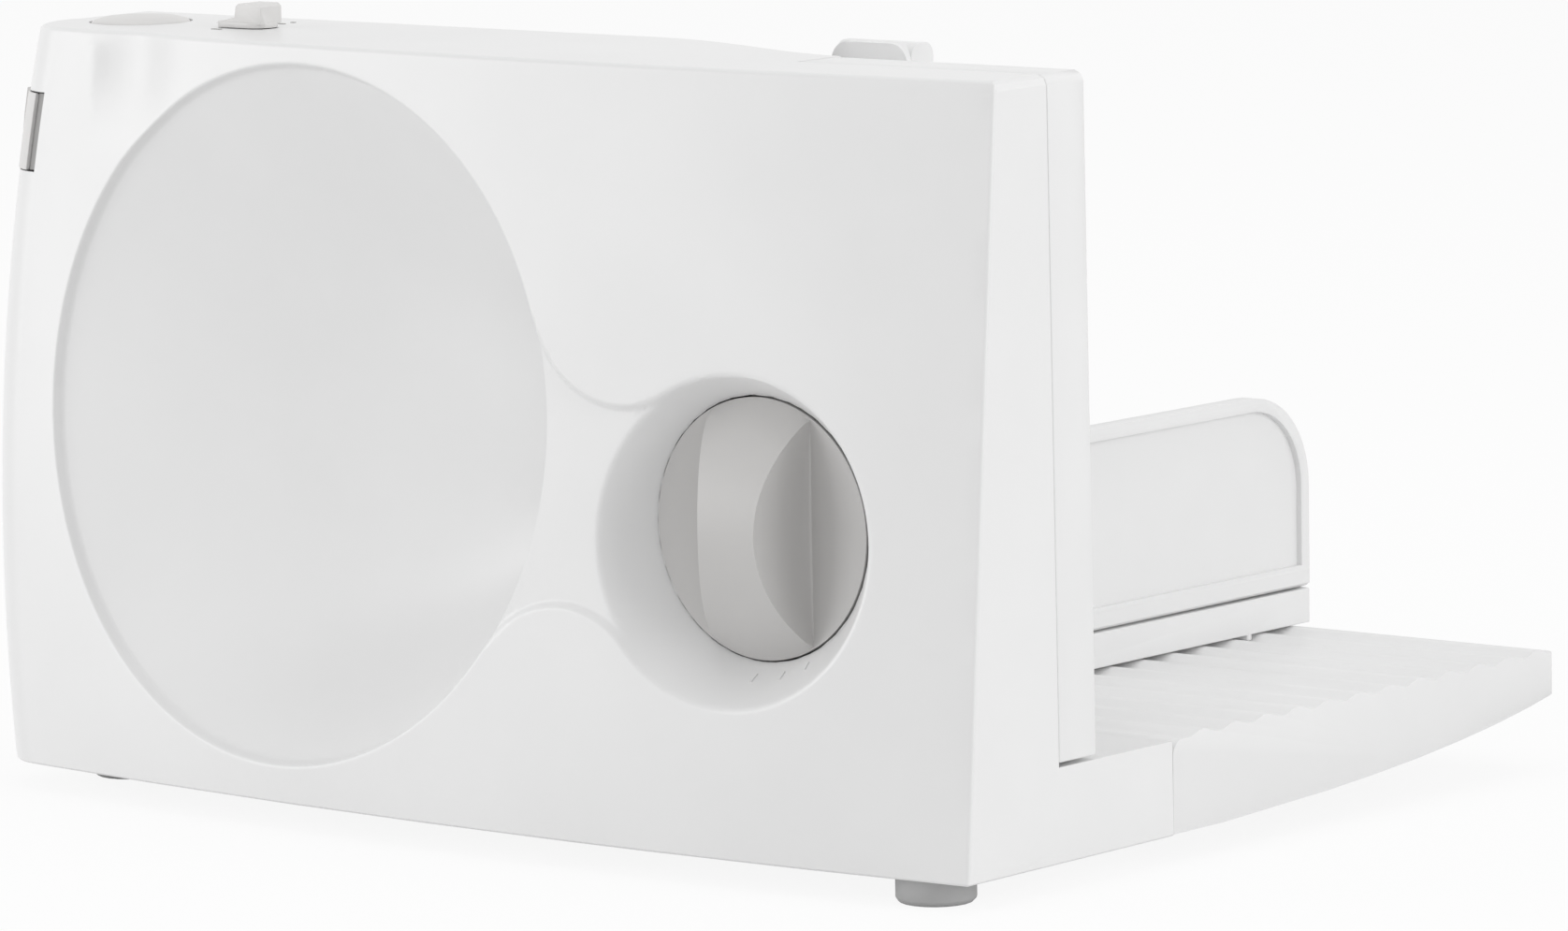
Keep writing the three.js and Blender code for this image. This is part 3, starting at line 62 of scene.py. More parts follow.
def link(tree, start, end):
    tree.links.new(start, end)


def mesh_from(shape, name):
    """Ends the work on a bmesh and returns it as a mesh"""
    mesh = bpy.data.meshes.new(name)
    shape.to_mesh(mesh)
    shape.free()
    return mesh


def noise(tree, place, scale, detail=3.0, stretch=None):
    """A noise texture in object space, in features per metre"""
    texture = tree.nodes.new("ShaderNodeTexNoise")
    texture.inputs["Scale"].default_value = scale
    texture.inputs["Detail"].default_value = detail
    if stretch:
        mapping = tree.nodes.new("ShaderNodeMapping")
        mapping.inputs["Scale"].default_value = stretch
        link(tree, place.outputs["Object"], mapping.inputs["Vector"])
        link(tree, mapping.outputs["Vector"], texture.inputs["Vector"])
    else:
        link(tree, place.outputs["Object"], texture.inputs["Vector"])
    return texture.outputs["Fac"]


def surface(name, dark, light, rough, grain, depth, stretch=None, cloud=16.0, **shader_values):
    """A procedural finish: slow shade changes, uneven gloss and a fine moulded or drawn grain"""
    material = bpy.data.materials.new(name)
    material.use_nodes = True
    tree = material.node_tree
    shader = tree.nodes["Principled BSDF"]
    place = tree.nodes.new("ShaderNodeTexCoord")
    ramp = tree.nodes.new("ShaderNodeValToRGB")
    ramp.color_ramp.elements[0].position = 0.3
    ramp.color_ramp.elements[0].color = (*dark, 1)
    ramp.color_ramp.elements[1].position = 0.7
    ramp.color_ramp.elements[1].color = (*light, 1)
    link(tree, noise(tree, place, cloud, stretch=stretch), ramp.inputs["Fac"])
    link(tree, ramp.outputs["Color"], shader.inputs["Base Color"])
    gloss = tree.nodes.new("ShaderNodeMapRange")
    gloss.inputs["To Min"].default_value = rough[0]
    gloss.inputs["To Max"].default_value = rough[1]
    fine = noise(tree, place, grain, detail=2.0, stretch=stretch)
    link(tree, fine, gloss.inputs["Value"])
    link(tree, gloss.outputs["Result"], shader.inputs["Roughness"])
    bump = tree.nodes.new("ShaderNodeBump")
    bump.inputs["Strength"].default_value = 0.25
    bump.inputs["Distance"].default_value = depth
    link(tree, fine, bump.inputs["Height"])
    link(tree, bump.outputs["Normal"], shader.inputs["Normal"])
    for socket, value in shader_values.items():
        shader.inputs[socket.replace("_", " ")].default_value = value
    return material


def grey(value, warm=0.0):
    """A grey, made a little warmer by a share of its value"""
    return (value * (1 + warm), value, value * (1 - warm))


def turned_steel(name, centre):
    """Ground steel whose fine marks run round an axis along y"""
    material = surface(name, grey(0.56), grey(0.60), (0.2, 0.3), 500, 0.000004, Metallic=1.0)
    tree = material.node_tree
    place = next(node for node in tree.nodes if node.type == "TEX_COORD")
    shifted = tree.nodes.new("ShaderNodeMapping")
    shifted.inputs["Location"].default_value = (-centre.x, 0, -centre.z)
    shifted.inputs["Scale"].default_value = (1, 0, 1)
    link(tree, place.outputs["Object"], shifted.inputs["Vector"])
    radius = tree.nodes.new("ShaderNodeVectorMath")
    radius.operation = "LENGTH"
    link(tree, shifted.outputs["Vector"], radius.inputs[0])
    for texture in [node for node in tree.nodes if node.type == "TEX_NOISE"]:
        texture.noise_dimensions = "1D"
        texture.inputs["Scale"].default_value *= 4
        link(tree, radius.outputs["Value"], texture.inputs["W"])
    return material


WARM, PALE_WARM = 0.015, 0.012
DRAWN = (1, 1, 14)
# Name, darker and lighter colour, roughness, grain per metre and its depth in metres
MATERIALS = {
    "shell": surface("white_plastic", grey(0.77), grey(0.80), (0.28, 0.38), 1400, 0.00002),
    "grey": surface(
        "grey_plastic", grey(0.50, WARM), grey(0.54, WARM), (0.36, 0.5), 1800, 0.00003),
    "control": surface(
        "pale_control", grey(0.66, PALE_WARM), grey(0.70, PALE_WARM), (0.34, 0.46), 1800, 0.00003),
    # Dark grey for the moulded marks, and painted shade on the side button's front strip
    "dusk": surface(
        "dusk_plastic", grey(0.27, WARM), grey(0.31, WARM), (0.4, 0.5), 1800, 0.00003),
    "rubber": surface("rubber", grey(0.41), grey(0.47), (0.7, 0.9), 900, 0.0001),
    "steel": surface(
        "steel", grey(0.52), grey(0.62), (0.18, 0.32), 500, 0.00002, DRAWN, Metallic=1.0),
    "brass": surface(
        "brass", (0.52, 0.36, 0.13), (0.62, 0.45, 0.18), (0.25, 0.4), 700, 0.00002, Metallic=1.0),
    "dark": surface("dark_plastic", grey(0.03), grey(0.045), (0.45, 0.6), 1500, 0.00004),
    "nylon": surface(
        "nylon", (0.70, 0.66, 0.56), (0.76, 0.72, 0.62), (0.4, 0.55), 1200, 0.00003),
    "clear": surface(
        "frosted_clear", grey(0.92), grey(0.95), (0.3, 0.4), 1400, 0.000004,
        Transmission_Weight=0.2, IOR=1.49),
}


def add(name, mesh, node, *nodes, material=None):
    """Shows a mesh in place of CAD nodes, riding on the first one's body"""
    obj = bpy.data.objects.new(name, mesh)
    scene.collection.objects.link(obj)
    mesh.materials.clear()
    mesh.materials.append(material or MATERIALS[slot_of_node[node]])
    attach(obj, body_of_node[node])
    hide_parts(node, *nodes)
    return obj


# Rounding of most edges, the least angle that is rounded, and the table's corners
SOFT, SOFT_ANGLE, TABLE_CORNER = 0.0004, 33.0, 0.003


def round_far_corners(shape):
    """Rounds the table's two upright edges at its far side"""
    far = max(vert.co.y for vert in shape.verts)
    left = min(vert.co.x for vert in shape.verts)
    right = max(vert.co.x for vert in shape.verts)
    corners = []
    for edge in shape.edges:
        at_far = all(vert.co.y > far - 1e-5 for vert in edge.verts)
        for side in (left, right):
            if at_far and all(abs(vert.co.x - side) < 1e-5 for vert in edge.verts):
                corners.append(edge)
    bmesh.ops.bevel(
        shape, geom=corners, offset=TABLE_CORNER, segments=5, profile=0.5, affect="EDGES")


def dressed(node, width):
    """A copy of a CAD node with merged faces, softened edges and smooth curves"""
    mesh = frame["nodes"][node].data.copy()
    shape = bmesh.new()
    shape.from_mesh(mesh)
    bmesh.ops.remove_doubles(shape, verts=shape.verts, dist=1e-6)
    flat = math.radians(1)
    bmesh.ops.dissolve_limit(shape, angle_limit=flat, verts=shape.verts, edges=shape.edges)
    for vert in shape.verts:
        vert.co.z = OWN_HEIGHT.get(node, lambda z: z)(vert.co.z)
    if node == "folding_table":
        round_far_corners(shape)
    shape.to_mesh(mesh)
    shape.free()
    mesh.shade_smooth()
    obj = add(node + "_look", mesh, node, material=OWN_MATERIAL.get(node))
    if node in ("blade", "blade_lock"):
        mesh.set_sharp_from_angle(angle=math.radians(SOFT_ANGLE))
    else:
        soften(obj, width)


def soften(obj, width):
    """Gives an object small rounded edges"""
    bevel = obj.modifiers.new("edges", "BEVEL")
    bevel.width = width
    bevel.segments = 2
    bevel.limit_method = "ANGLE"
    bevel.angle_limit = math.radians(SOFT_ANGLE)
    bevel.harden_normals = True


OWN_MATERIAL = {node: MATERIALS["control"] for node in ("push_button", "mode_lever")}
blade_low, blade_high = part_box("blade")
OWN_MATERIAL["blade"] = turned_steel("ground_blade", (blade_low + blade_high) / 2)
# The stop plate reaches lower and the lever is less high than in the CAD
PLATE_FOOT, PLATE_CAD_FOOT, ROOF, LEVER_SHARE = 0.0313, 0.0333, 0.1967, 0.8
OWN_HEIGHT = {
    "stop_plate": lambda z: PLATE_FOOT if z < PLATE_CAD_FOOT else z,
    "mode_lever": lambda z: z if z < ROOF else ROOF + LEVER_SHARE * (z - ROOF),
}
SOFT_EDGES = {
    "stop_plate": 0.0005,
    "folding_table": 0.0006,
    "carriage_wall": 0.0007,
    "mode_lever": 0.0014,
}
OWN_LOOK = ("push_button_spring", "side_button_spring", "front_housing", "thickness_knob")
for node, cad in frame["nodes"].items():
    cad.data.materials.clear()
    cad.data.materials.append(MATERIALS[slot_of_node[node]])
    if node not in OWN_LOOK:
        dressed(node, SOFT_EDGES.get(node, SOFT))

# The wall's lower lip, flush with its frame, in front of its hinge bead
LIP_PROUD, LIP_DEPTH, LIP_LOW, LIP_HIGH = 0.00002, 0.0006, 0.0425, 0.0462
wall_low, wall_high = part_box("carriage_wall")
shape = bmesh.new()
bmesh.ops.create_cube(shape, size=1.0)
for vert in shape.verts:
    vert.co.x = wall_high.x + (LIP_PROUD if vert.co.x > 0 else -LIP_DEPTH)
    vert.co.y = wall_high.y if vert.co.y > 0 else wall_low.y
    vert.co.z = LIP_HIGH if vert.co.z > 0 else LIP_LOW
soften(add("wall_lip", mesh_from(shape, "wall_lip"), "carriage_wall"), 0.0001)

# Springs: copies of the CAD coils, each with its own mesh; their joints and axes are listed but not
# used here
SPRINGS = (
    ("push_button_spring", "push_button_press", Vector((0, 0, 1))),
    ("side_button_spring", "side_button_press", Vector((1, 0, 0))),
)
for node, joint, axis in SPRINGS:
    low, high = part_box(node)
    coil = add(node + "_look", frame["nodes"][node].data.copy(), node)
    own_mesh(coil)

# Housing: the smooth front over a copy of the CAD moulding. Millimetres, y from the face's apex
LENGTH, HEIGHT, FOOT, TOP = 337.7, 190.0, 6.7, 196.7
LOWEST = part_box("front_housing")[0].z * 1000
BASE_DEPTH, DEPTH_CENTRE = 87.4, 128.2
# The face bulges and leans back, the left end bulges, the right end leans
FACE_APEX, FACE_RADIUS, FACE_LEAN = 55, 1427, 0.0869
LEFT_RADIUS, RIGHT_LEAN = 435, 0.0082
CORNER_WIDTH, CORNER_DEPTH = 18.0, 21.0
# Radius of the top edge in the CAD and in the skin, and of the right edge in the skin
TOP_EDGE, SKIN_EDGE, RIGHT_EDGE = 2.5, 1.2, 0.8
# Thumb hollow: its depth, its fade to the right, its crisp left side and its heights
HOLLOW_DEPTH, HOLLOW_FADE = 3.0, 13
SCOOP_LEFT, SCOOP_RUN, SCOOP_LOW, SCOOP_HIGH = 127.5, 15, 164, 190
# Bowl: its rings shift to the right. BOWL_RIM is the CAD's step at its rim, BOWL_LIP the skin's
BOWL_X, BOWL_Z, BOWL_RADIUS, BOWL_SHIFT, BOWL_FLOOR = -50.9, 104.0, 87.7, 0.78, 41.0
BOWL_RIM, BOWL_LIP, BOWL_SIDES = 3.0, 1.7, 240
# Slice outlet: left, right, low, high, front
DUCT = (12.9, 42.9, 49.0, 159.0, 24.5)
KNOB_X, KNOB_Z, KNOB_RADIUS, KNOB_RIM_Y, KNOB_BACK = 96.3, 85.3, 32.1, 19.1, 27.1
# Dish: millimetres outward for each one forward, less above and below, more on the left
DISH_BOTTOM, DISH_REACH, DISH_SIDES = KNOB_RADIUS + 0.5, KNOB_RIM_Y + 0.5, 150
DISH_SLOPE, DISH_UPRIGHT, DISH_LEFT = 0.75, 0.18, 0.15
DISH_LIMIT, DISH_ROUND = 52, 0.4
# Bridge between bowl and dish
NECK_DEPTH, NECK_WAIST, NECK_SOFT, DISH_RADIUS = 1.5, 20.0, 0.9, KNOB_RADIUS + 9
NOT_NECK = -9.0


def row(x, y, z):
    """Body millimetres to the row frame in metres"""
    return Vector((x, y - DEPTH_CENTRE, z)) / 1000


def smooth(low, high, value):
    """An eased step from 0 to 1"""
    t = min(max((value - low) / (high - low), 0.0), 1.0)
    return t * t * (3 - 2 * t)


def cad_hollow(x, z):
    """The CAD's longer hollow below the push button"""
    rise = smooth(0.6 * HEIGHT, 0.95 * HEIGHT, z - FOOT)
    return HOLLOW_DEPTH * rise * math.exp(-((x + LENGTH / 3) / HOLLOW_FADE) ** 2)


def thumb_hollow(x, z):
    """The scoop below the push button, crisp on its left, and the CAD's own at the top edge"""
    from_edge = min(max((x + SCOOP_LEFT) / SCOOP_RUN, 0), 1)
    fade = math.exp(-(max(x + LENGTH / 3, 0) / HOLLOW_FADE) ** 2)
    across = math.sin(from_edge * math.pi / 2) * fade
    scoop = HOLLOW_DEPTH * smooth(SCOOP_LOW, SCOOP_HIGH, z) * across
    top = smooth(192.0, 195.5, z)
    return scoop + (cad_hollow(x, z) - scoop) * top


def face_y(x, z):
    bulge = (x - FACE_APEX) ** 2 / (2 * FACE_RADIUS)
    return bulge + FACE_LEAN * (z - FOOT) + thumb_hollow(x, z)


def left_end(z):
    return -LENGTH / 2 + (z - FOOT - HEIGHT / 2) ** 2 / (2 * LEFT_RADIUS)


def right_end(z):
    return LENGTH / 2 - RIGHT_LEAN * (z - FOOT)


bowl_at, knob_at = Vector((BOWL_X, BOWL_Z)), Vector((KNOB_X, KNOB_Z))
dish_at = Vector((KNOB_X, KNOB_Z - 3))
apart = (dish_at - bowl_at).length
along = (dish_at - bowl_at) / apart
sideways = Vector((-along.y, along.x))
fillet = NECK_WAIST + (apart - BOWL_RADIUS - DISH_RADIUS) / 2
reach_bowl, reach_dish = BOWL_RADIUS + fillet, DISH_RADIUS + fillet
offset = (reach_bowl ** 2 - reach_dish ** 2 + apart ** 2) / (2 * apart)
spread = math.sqrt(reach_bowl ** 2 - offset ** 2)
fillets = [bowl_at + along * offset + sideways * side * spread for side in (1, -1)]
quad = [bowl_at, fillets[1], dish_at, fillets[0]]


def neck_distance(p):
    """How far a point lies inside the shallow bridge, negative outside it"""
    for a, b in zip(quad, quad[1:] + quad[:1]):
        if (b - a).cross(p - a) < 0:
            return NOT_NECK
    return min((p - centre).length for centre in fillets) - fillet


def dish_slope(across, up):
    """The dish is steeper above and below the knob and flatter on its left"""
    radius = max(math.hypot(across, up), 1.0)
    upright, left = (up / radius) ** 2, (min(across, 0) / radius) ** 2
    return DISH_SLOPE * (1 - DISH_UPRIGHT * upright + DISH_LEFT * left)


def rim_step(inside):
    """The share of the step at the bowl's rim, a given way inside it"""
    return smooth(-0.5, 1.5, inside)


def cad_bowl_y(x, z, inside):
    """The depth of the CAD's bowl, a given way inside its rim"""
    dx, dz = x - BOWL_X, z - BOWL_Z
    sink = BOWL_RADIUS ** 2 - dx ** 2 - dz ** 2
    sink = min(sink / (2 * BOWL_RADIUS * BOWL_SHIFT * (BOWL_RADIUS - dx)), 1.0)
    turn = math.atan2(dz, dx - BOWL_RADIUS * BOWL_SHIFT * sink)
    rim_x, rim_z = BOWL_X + BOWL_RADIUS * math.cos(turn), BOWL_Z + BOWL_RADIUS * math.sin(turn)
    start = face_y(rim_x, rim_z) + BOWL_RIM * rim_step(inside)
    return start + (BOWL_FLOOR - start) * math.sin(sink * math.pi / 2)


def skin_y(x, z):
    """The front surface's depth, and the CAD's inside the bowl, where bowl_point draws the skin"""
    p = Vector((x, z))
    inside = BOWL_RADIUS - (p - bowl_at).length
    if inside > 0.01:
        return cad_bowl_y(x, z, inside)
    y = face_y(x, z)
    step = smooth(-NECK_SOFT, NECK_SOFT, neck_distance(p))
    middle = (BOWL_X + BOWL_RADIUS + KNOB_X - KNOB_RADIUS) / 2
    neck = face_y(middle, KNOB_Z) + NECK_DEPTH + FACE_LEAN * (z - KNOB_Z)
    y += step * max(neck - y, 0)
    radius = math.hypot(x - KNOB_X, z - KNOB_Z)
    if radius < DISH_LIMIT:
        cone = DISH_REACH - (radius - DISH_BOTTOM) / dish_slope(x - KNOB_X, z - KNOB_Z)
        y = (y + cone + math.hypot(y - cone, DISH_ROUND)) / 2
    if inside > -0.5:
        y = max(y, face_y(x, z) + BOWL_LIP * rim_step(inside))
    return y


def bowl_point(turn, sink):
    """A point of the bowl, whose rings lean to the right as they sink"""
    radius = BOWL_RADIUS * (1 - BOWL_SHIFT * sink)
    p = Vector((BOWL_X + BOWL_RADIUS * BOWL_SHIFT * sink, BOWL_Z))
    p += radius * Vector((math.cos(turn), math.sin(turn)))
    rim = bowl_at + BOWL_RADIUS * Vector((math.cos(turn), math.sin(turn)))
    inside = max(BOWL_RADIUS - (p - bowl_at).length, BOWL_RADIUS * BOWL_SHIFT * sink)
    start = max(face_y(*rim) + BOWL_LIP * rim_step(inside), skin_y(*rim))
    return row(p.x, start + (BOWL_FLOOR - start) * math.sin(sink * math.pi / 2), p.y)


def ring(x, z, radius, count):
    """Points round a circle seen from the front"""
    turns = (2 * math.pi * k / count for k in range(count))
    return [Vector((x + radius * math.cos(t), z + radius * math.sin(t))) for t in turns]


def sheet(shape, points, depth, keep):
    """Triangulates points seen from the front and lifts them to their depth"""
    flat, _, faces, *_ = delaunay_2d_cdt(points, [], [], 0, 1e-5)
    verts = [shape.verts.new(row(p.x, depth(p.x, p.y), p.y)) for p in flat]
    for corners in faces:
        centre = sum((flat[k] for k in corners), Vector((0, 0))) / 3
        if keep(centre):
            face = shape.faces.new([verts[k] for k in corners])
            face.normal_update()
            if face.normal.y > 0:
                face.normal_flip()
    for vert in verts:
        if not vert.link_faces:
            shape.verts.remove(vert)


def strip(shape, lines, keep=lambda centre: True):
    """Quads between neighbouring lines of points"""
    grid = [[shape.verts.new(p) for p in line] for line in lines]
    for a, b in zip(grid, grid[1:]):
        for k in range(len(a) - 1):
            corners = [a[k], a[k + 1], b[k + 1], b[k]]
            if keep(sum((c.co for c in corners), Vector()) / 4):
                shape.faces.new(corners)


button_low, button_high = (corner * 1000 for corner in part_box("side_button"))
WINDOW_TURN, WINDOW_GAP = math.radians(7), 0.3
window = (button_low.z - WINDOW_GAP, button_high.z + WINDOW_GAP)
SHEET_TOP = TOP - SKIN_EDGE
HOLLOW_LEVELS = [191.4, 192.6, 193.5, 194.5]
levels = [LOWEST + (SHEET_TOP - LOWEST) * k / 46 for k in range(47)]
levels = [z for z in levels if min(abs(z - w) for w in window) > 1.5]
levels = sorted(levels + list(window) + HOLLOW_LEVELS)
ACROSS = [k / 76 for k in range(77)]


def face_line(z, inset=0.0):
    """Points along the face at one height, from the corner's start to the right edge's start"""
    left = left_end(z) + inset + CORNER_WIDTH
    return [left + (right_end(z) - inset - RIGHT_EDGE - left) * u for u in ACROSS]


def corner_point(z, turn, inset=0.0, proud=0.0):
    """A point on the left corner's arc, which starts at turn 0 on the face"""
    x = left_end(z) + inset + CORNER_WIDTH
    back = face_y(x, z) + inset + CORNER_DEPTH
    width, depth = CORNER_WIDTH + proud, CORNER_DEPTH + proud
    return row(x - width * math.sin(turn), back - depth * math.cos(turn), z)


def corner_line(z, inset=0.0):
    """The left corner's arc at one height, with a point where the side button's window starts"""
    rest = math.pi / 2 - WINDOW_TURN
    turns = [0, WINDOW_TURN / 2] + [WINDOW_TURN + rest * k / 18 for k in range(19)]
    return [corner_point(z, t, inset) for t in turns]


def edge_line(z, inset=0.0):
    """The small radius at the face's right edge at one height"""
    x = right_end(z) - inset - RIGHT_EDGE
    y = face_y(x, z) + inset
    turns = [math.pi / 2 * k / 4 for k in range(5)]
    arc = [(RIGHT_EDGE * math.sin(t), RIGHT_EDGE * (1 - math.cos(t))) for t in turns]
    return [row(x + right, y + back, z) for right, back in arc]


def whole_line(z, inset):
    """The corner, the face and the right edge at one height"""
    face = [row(x, face_y(x, z) + inset, z) for x in face_line(z, inset)]
    return corner_line(z, inset)[::-1] + face[1:] + edge_line(z, inset)[1:]


def skirt_line(z, inset):
    """The front and both ends of the base at one height"""
    left, right = left_end(z) + inset, right_end(z) - inset
    return [row(left, BASE_DEPTH, z)] + whole_line(z, inset) + [row(right, BASE_DEPTH, z)]


def clear_of_details(p):
    """Whether a point lies on the plain face, which needs only a coarse mesh"""
    if (p - bowl_at).length < BOWL_RADIUS + 4.5:
        return False
    if math.hypot(p.x - KNOB_X, p.y - KNOB_Z) < 49:
        return False
    return abs(neck_distance(p)) > 3.0 or neck_distance(p) == NOT_NECK


def fillet_points():
    """Points along the bridge's two curved sides, up to the bowl's and the dish's own rings"""
    points = []
    for centre in fillets:
        toward = math.atan2(*(bowl_at + along * offset - centre).yx)
        for step in range(-4, 5):
            radius = fillet + 0.4 * step
            for k in range(-40, 41):
                turn = toward + math.radians(2.2) * k
                p = centre + Vector((math.cos(turn), math.sin(turn))) * radius
                free = (p - bowl_at).length > BOWL_RADIUS + 3.2
                if free and (p - knob_at).length > DISH_BOTTOM + 9.6:
                    points.append(p)
    return points


def front_points():
    """Points of the face round the bowl, denser at the details"""
    points = []
    for z in levels:
        edge = z in (levels[0], levels[-1])
        line = [Vector((x, z)) for x in face_line(z)]
        points += [p for p in line if edge or p in (line[0], line[-1]) or clear_of_details(p)]
    scoop = [Vector((-136 + 1.4 * i, 160.7 + 1.9 * j)) for i in range(30) for j in range(18)]
    points += [p for p in scoop if clear_of_details(p)]
    points += ring(BOWL_X, BOWL_Z, BOWL_RADIUS, BOWL_SIDES)
    for outside in (2.6, 1.8, 1.1, 0.6, 0.3):
        points += ring(BOWL_X, BOWL_Z, BOWL_RADIUS + outside, 2 * BOWL_SIDES)
    for k in range(24):
        circle = ring(KNOB_X, KNOB_Z, DISH_BOTTOM + 0.6 * k, DISH_SIDES)
        points += [p for p in circle if k < 16 or abs(neck_distance(p)) > 2.2]
    return points + fillet_points()


def on_front(centre):
    """Leaves out the bowl and the knob's pocket"""
    if (centre - bowl_at).length < BOWL_RADIUS - 0.005:
        return False
    return math.hypot(centre.x - KNOB_X, centre.y - KNOB_Z) > DISH_BOTTOM - 0.1


# The bowl, with close rings at its rim
shape = bmesh.new()
RIM_STEPS = (0, 0.3, 0.6, 0.9, 1.2, 1.6, 2.4, 3.6)
sinks = [inside / (2 * BOWL_RADIUS * BOWL_SHIFT) for inside in RIM_STEPS]
sinks += [(k / 28) ** 1.3 for k in range(2, 29)]
around = [2 * math.pi * k / BOWL_SIDES for k in range(BOWL_SIDES + 1)]
rings = [[bowl_point(turn, sink) for turn in around] for sink in sinks]
floor_centre = row(BOWL_X + BOWL_RADIUS * BOWL_SHIFT, BOWL_FLOOR, BOWL_Z)
strip(shape, rings + [[floor_centre] * len(around)])
bmesh.ops.remove_doubles(shape, verts=shape.verts, dist=0.00001)

# The slice outlet is cut out of the bowl, with a short lip into the duct
OUTLET_LIP = 0.0016
left, right, low, high, front = DUCT
corner_low, corner_high = row(left, front, low), row(right, HEIGHT, high)
cuts = [(corner_low, normal) for normal in ((1, 0, 0), (0, 1, 0), (0, 0, 1))]
cuts.append((corner_high, (0, 0, 1)))
for place, normal in cuts:
    everything = shape.verts[:] + shape.edges[:] + shape.faces[:]
    bmesh.ops.bisect_plane(shape, geom=everything, dist=1e-7, plane_co=place, plane_no=normal)


def in_duct(point, margin=0.0):
    sides = zip(corner_low, point, corner_high)
    return all(a - margin < c < b + margin for a, c, b in sides)


opened = [face for face in shape.faces if in_duct(face.calc_center_median())]
bmesh.ops.delete(shape, geom=opened, context="FACES")
border = [edge for edge in shape.edges if edge.is_boundary]
border = [edge for edge in border if all(in_duct(vert.co, 1e-5) for vert in edge.verts)]
outlet = bmesh.ops.extrude_edge_only(shape, edges=border)["geom"]
outlet = [item for item in outlet if isinstance(item, bmesh.types.BMVert)]
bmesh.ops.translate(shape, vec=(0, OUTLET_LIP, 0), verts=outlet)
sheet(shape, front_points(), skin_y, on_front)


def in_window(centre):
    """Whether a piece of the corner lies in the side button's window"""
    z = centre.z * 1000
    across = (left_end(z) + CORNER_WIDTH - centre.x * 1000) / CORNER_WIDTH
    return window[0] < z < window[1] and across > math.sin(WINDOW_TURN)


strip(shape, [corner_line(z) for z in levels], lambda c: not in_window(c))
strip(shape, [edge_line(z) for z in levels])
round_over = [math.pi / 2 * k / 6 for k in range(7)]


def rounded_lines(radius):
    """The top edge's lines from the face to the roof"""
    arc = [(radius * math.sin(t), radius * (1 - math.cos(t))) for t in round_over]
    return [whole_line(TOP - radius + up, inset) for up, inset in arc]


# The top edge, which runs on under the CAD's roof, and its ends against the CAD's rounder edge
top_lines = rounded_lines(SKIN_EDGE)
for end in (0, -1):
    sides = (top_lines, rounded_lines(TOP_EDGE))
    strip(shape, [[line[end] for line in lines] for lines in sides])
strip(shape, top_lines + [whole_line(TOP, TOP_EDGE), whole_line(TOP - 0.03, TOP_EDGE + 1)])
# A skirt over the bottom plate's edge, with a small bevel: heights and insets
SKIRT = ((LOWEST, 0), (FOOT + 0.6, 0), (FOOT + 0.2, 0.4), (FOOT + 0.2, 0.6))
strip(shape, [skirt_line(z, inset) for z, inset in SKIRT])
pocket = ring(KNOB_X, KNOB_Z, DISH_BOTTOM, DISH_SIDES)
pocket.append(pocket[0])
strip(shape, [[row(p.x, y, p.y) for p in pocket] for y in (DISH_REACH + 0.4, KNOB_BACK - 2)])
bmesh.ops.remove_doubles(shape, verts=shape.verts, dist=0.00004)
bmesh.ops.recalc_face_normals(shape, faces=shape.faces)
if sum(face.normal.y * face.calc_area() for face in shape.faces) > 0:
    bmesh.ops.reverse_faces(shape, faces=shape.faces)
skin = mesh_from(shape, "housing_skin")
skin.shade_smooth()
skin.set_sharp_from_angle(angle=math.radians(42))
add("housing_skin", skin, "front_housing")

# The CAD's moulding, whose front is moved behind the skin
BEHIND = 1.2


def sunk(x, y, z):
    """A CAD point of the front moved behind the skin"""
    # How far up the CAD's rounded top edge the point lies
    up_edge = max(z - TOP + TOP_EDGE, 0)
    from_bowl = Vector((x - BOWL_X, z - BOWL_Z))
    from_knob = Vector((x - KNOB_X, z - KNOB_Z))
    if abs(from_bowl.length - BOWL_RADIUS) < 1.5 and y < BOWL_FLOOR + 1:
        from_bowl *= 1 + 1.0 / from_bowl.length
        return BOWL_X + from_bowl.x, y + BEHIND, BOWL_Z + from_bowl.y
    if abs(from_knob.length - DISH_BOTTOM) < 0.8 and y < KNOB_BACK:
        from_knob *= 1 + 0.8 / from_knob.length
        return KNOB_X + from_knob.x, y + 0.8, KNOB_Z + from_knob.y
    if z > TOP - 0.01:
        return x, y, z
    corner = left_end(z) + CORNER_WIDTH
    if x < corner - 0.5:
        back = face_y(corner, z) + CORNER_DEPTH
        turn = Vector(((corner - x) / CORNER_WIDTH, (back - y) / CORNER_DEPTH))
        if y < back - 0.3 and abs(turn.length - 1) < 0.06 + up_edge / 20:
            return x + 1.1 * turn.x, y + 1.1 * turn.y, z - 0.4 * up_edge
        return x, y, z
    at_right = abs(x - right_end(z)) < 0.05 + up_edge
    if at_right and abs(y - face_y(x, z)) < 0.2 + up_edge:
        return x, y + RIGHT_EDGE - 0.1, z
    extra = thumb_hollow(x, z) - cad_hollow(x, z)
    # The skin's bridge and dish differ more from the CAD's than the rest does
    room = 1.1 if x < 0 else 1.7
    if 37 < from_knob.length < 48:
        room = 2.4
    if abs(y + extra - skin_y(x, z)) < room + up_edge:
        return x, y + BEHIND + max(extra, -0.5), z - 0.3 * up_edge
    return x, y, z


core = frame["nodes"]["front_housing"].data.copy()
shape = bmesh.new()
shape.from_mesh(core)
covered = set()
for vert in shape.verts:
    place = vert.co.copy()
    x, y, z = place * 1000
    vert.co = row(*sunk(x, y + DEPTH_CENTRE, z))
    if (vert.co - place).length > 0.0003:
        covered.add(vert)


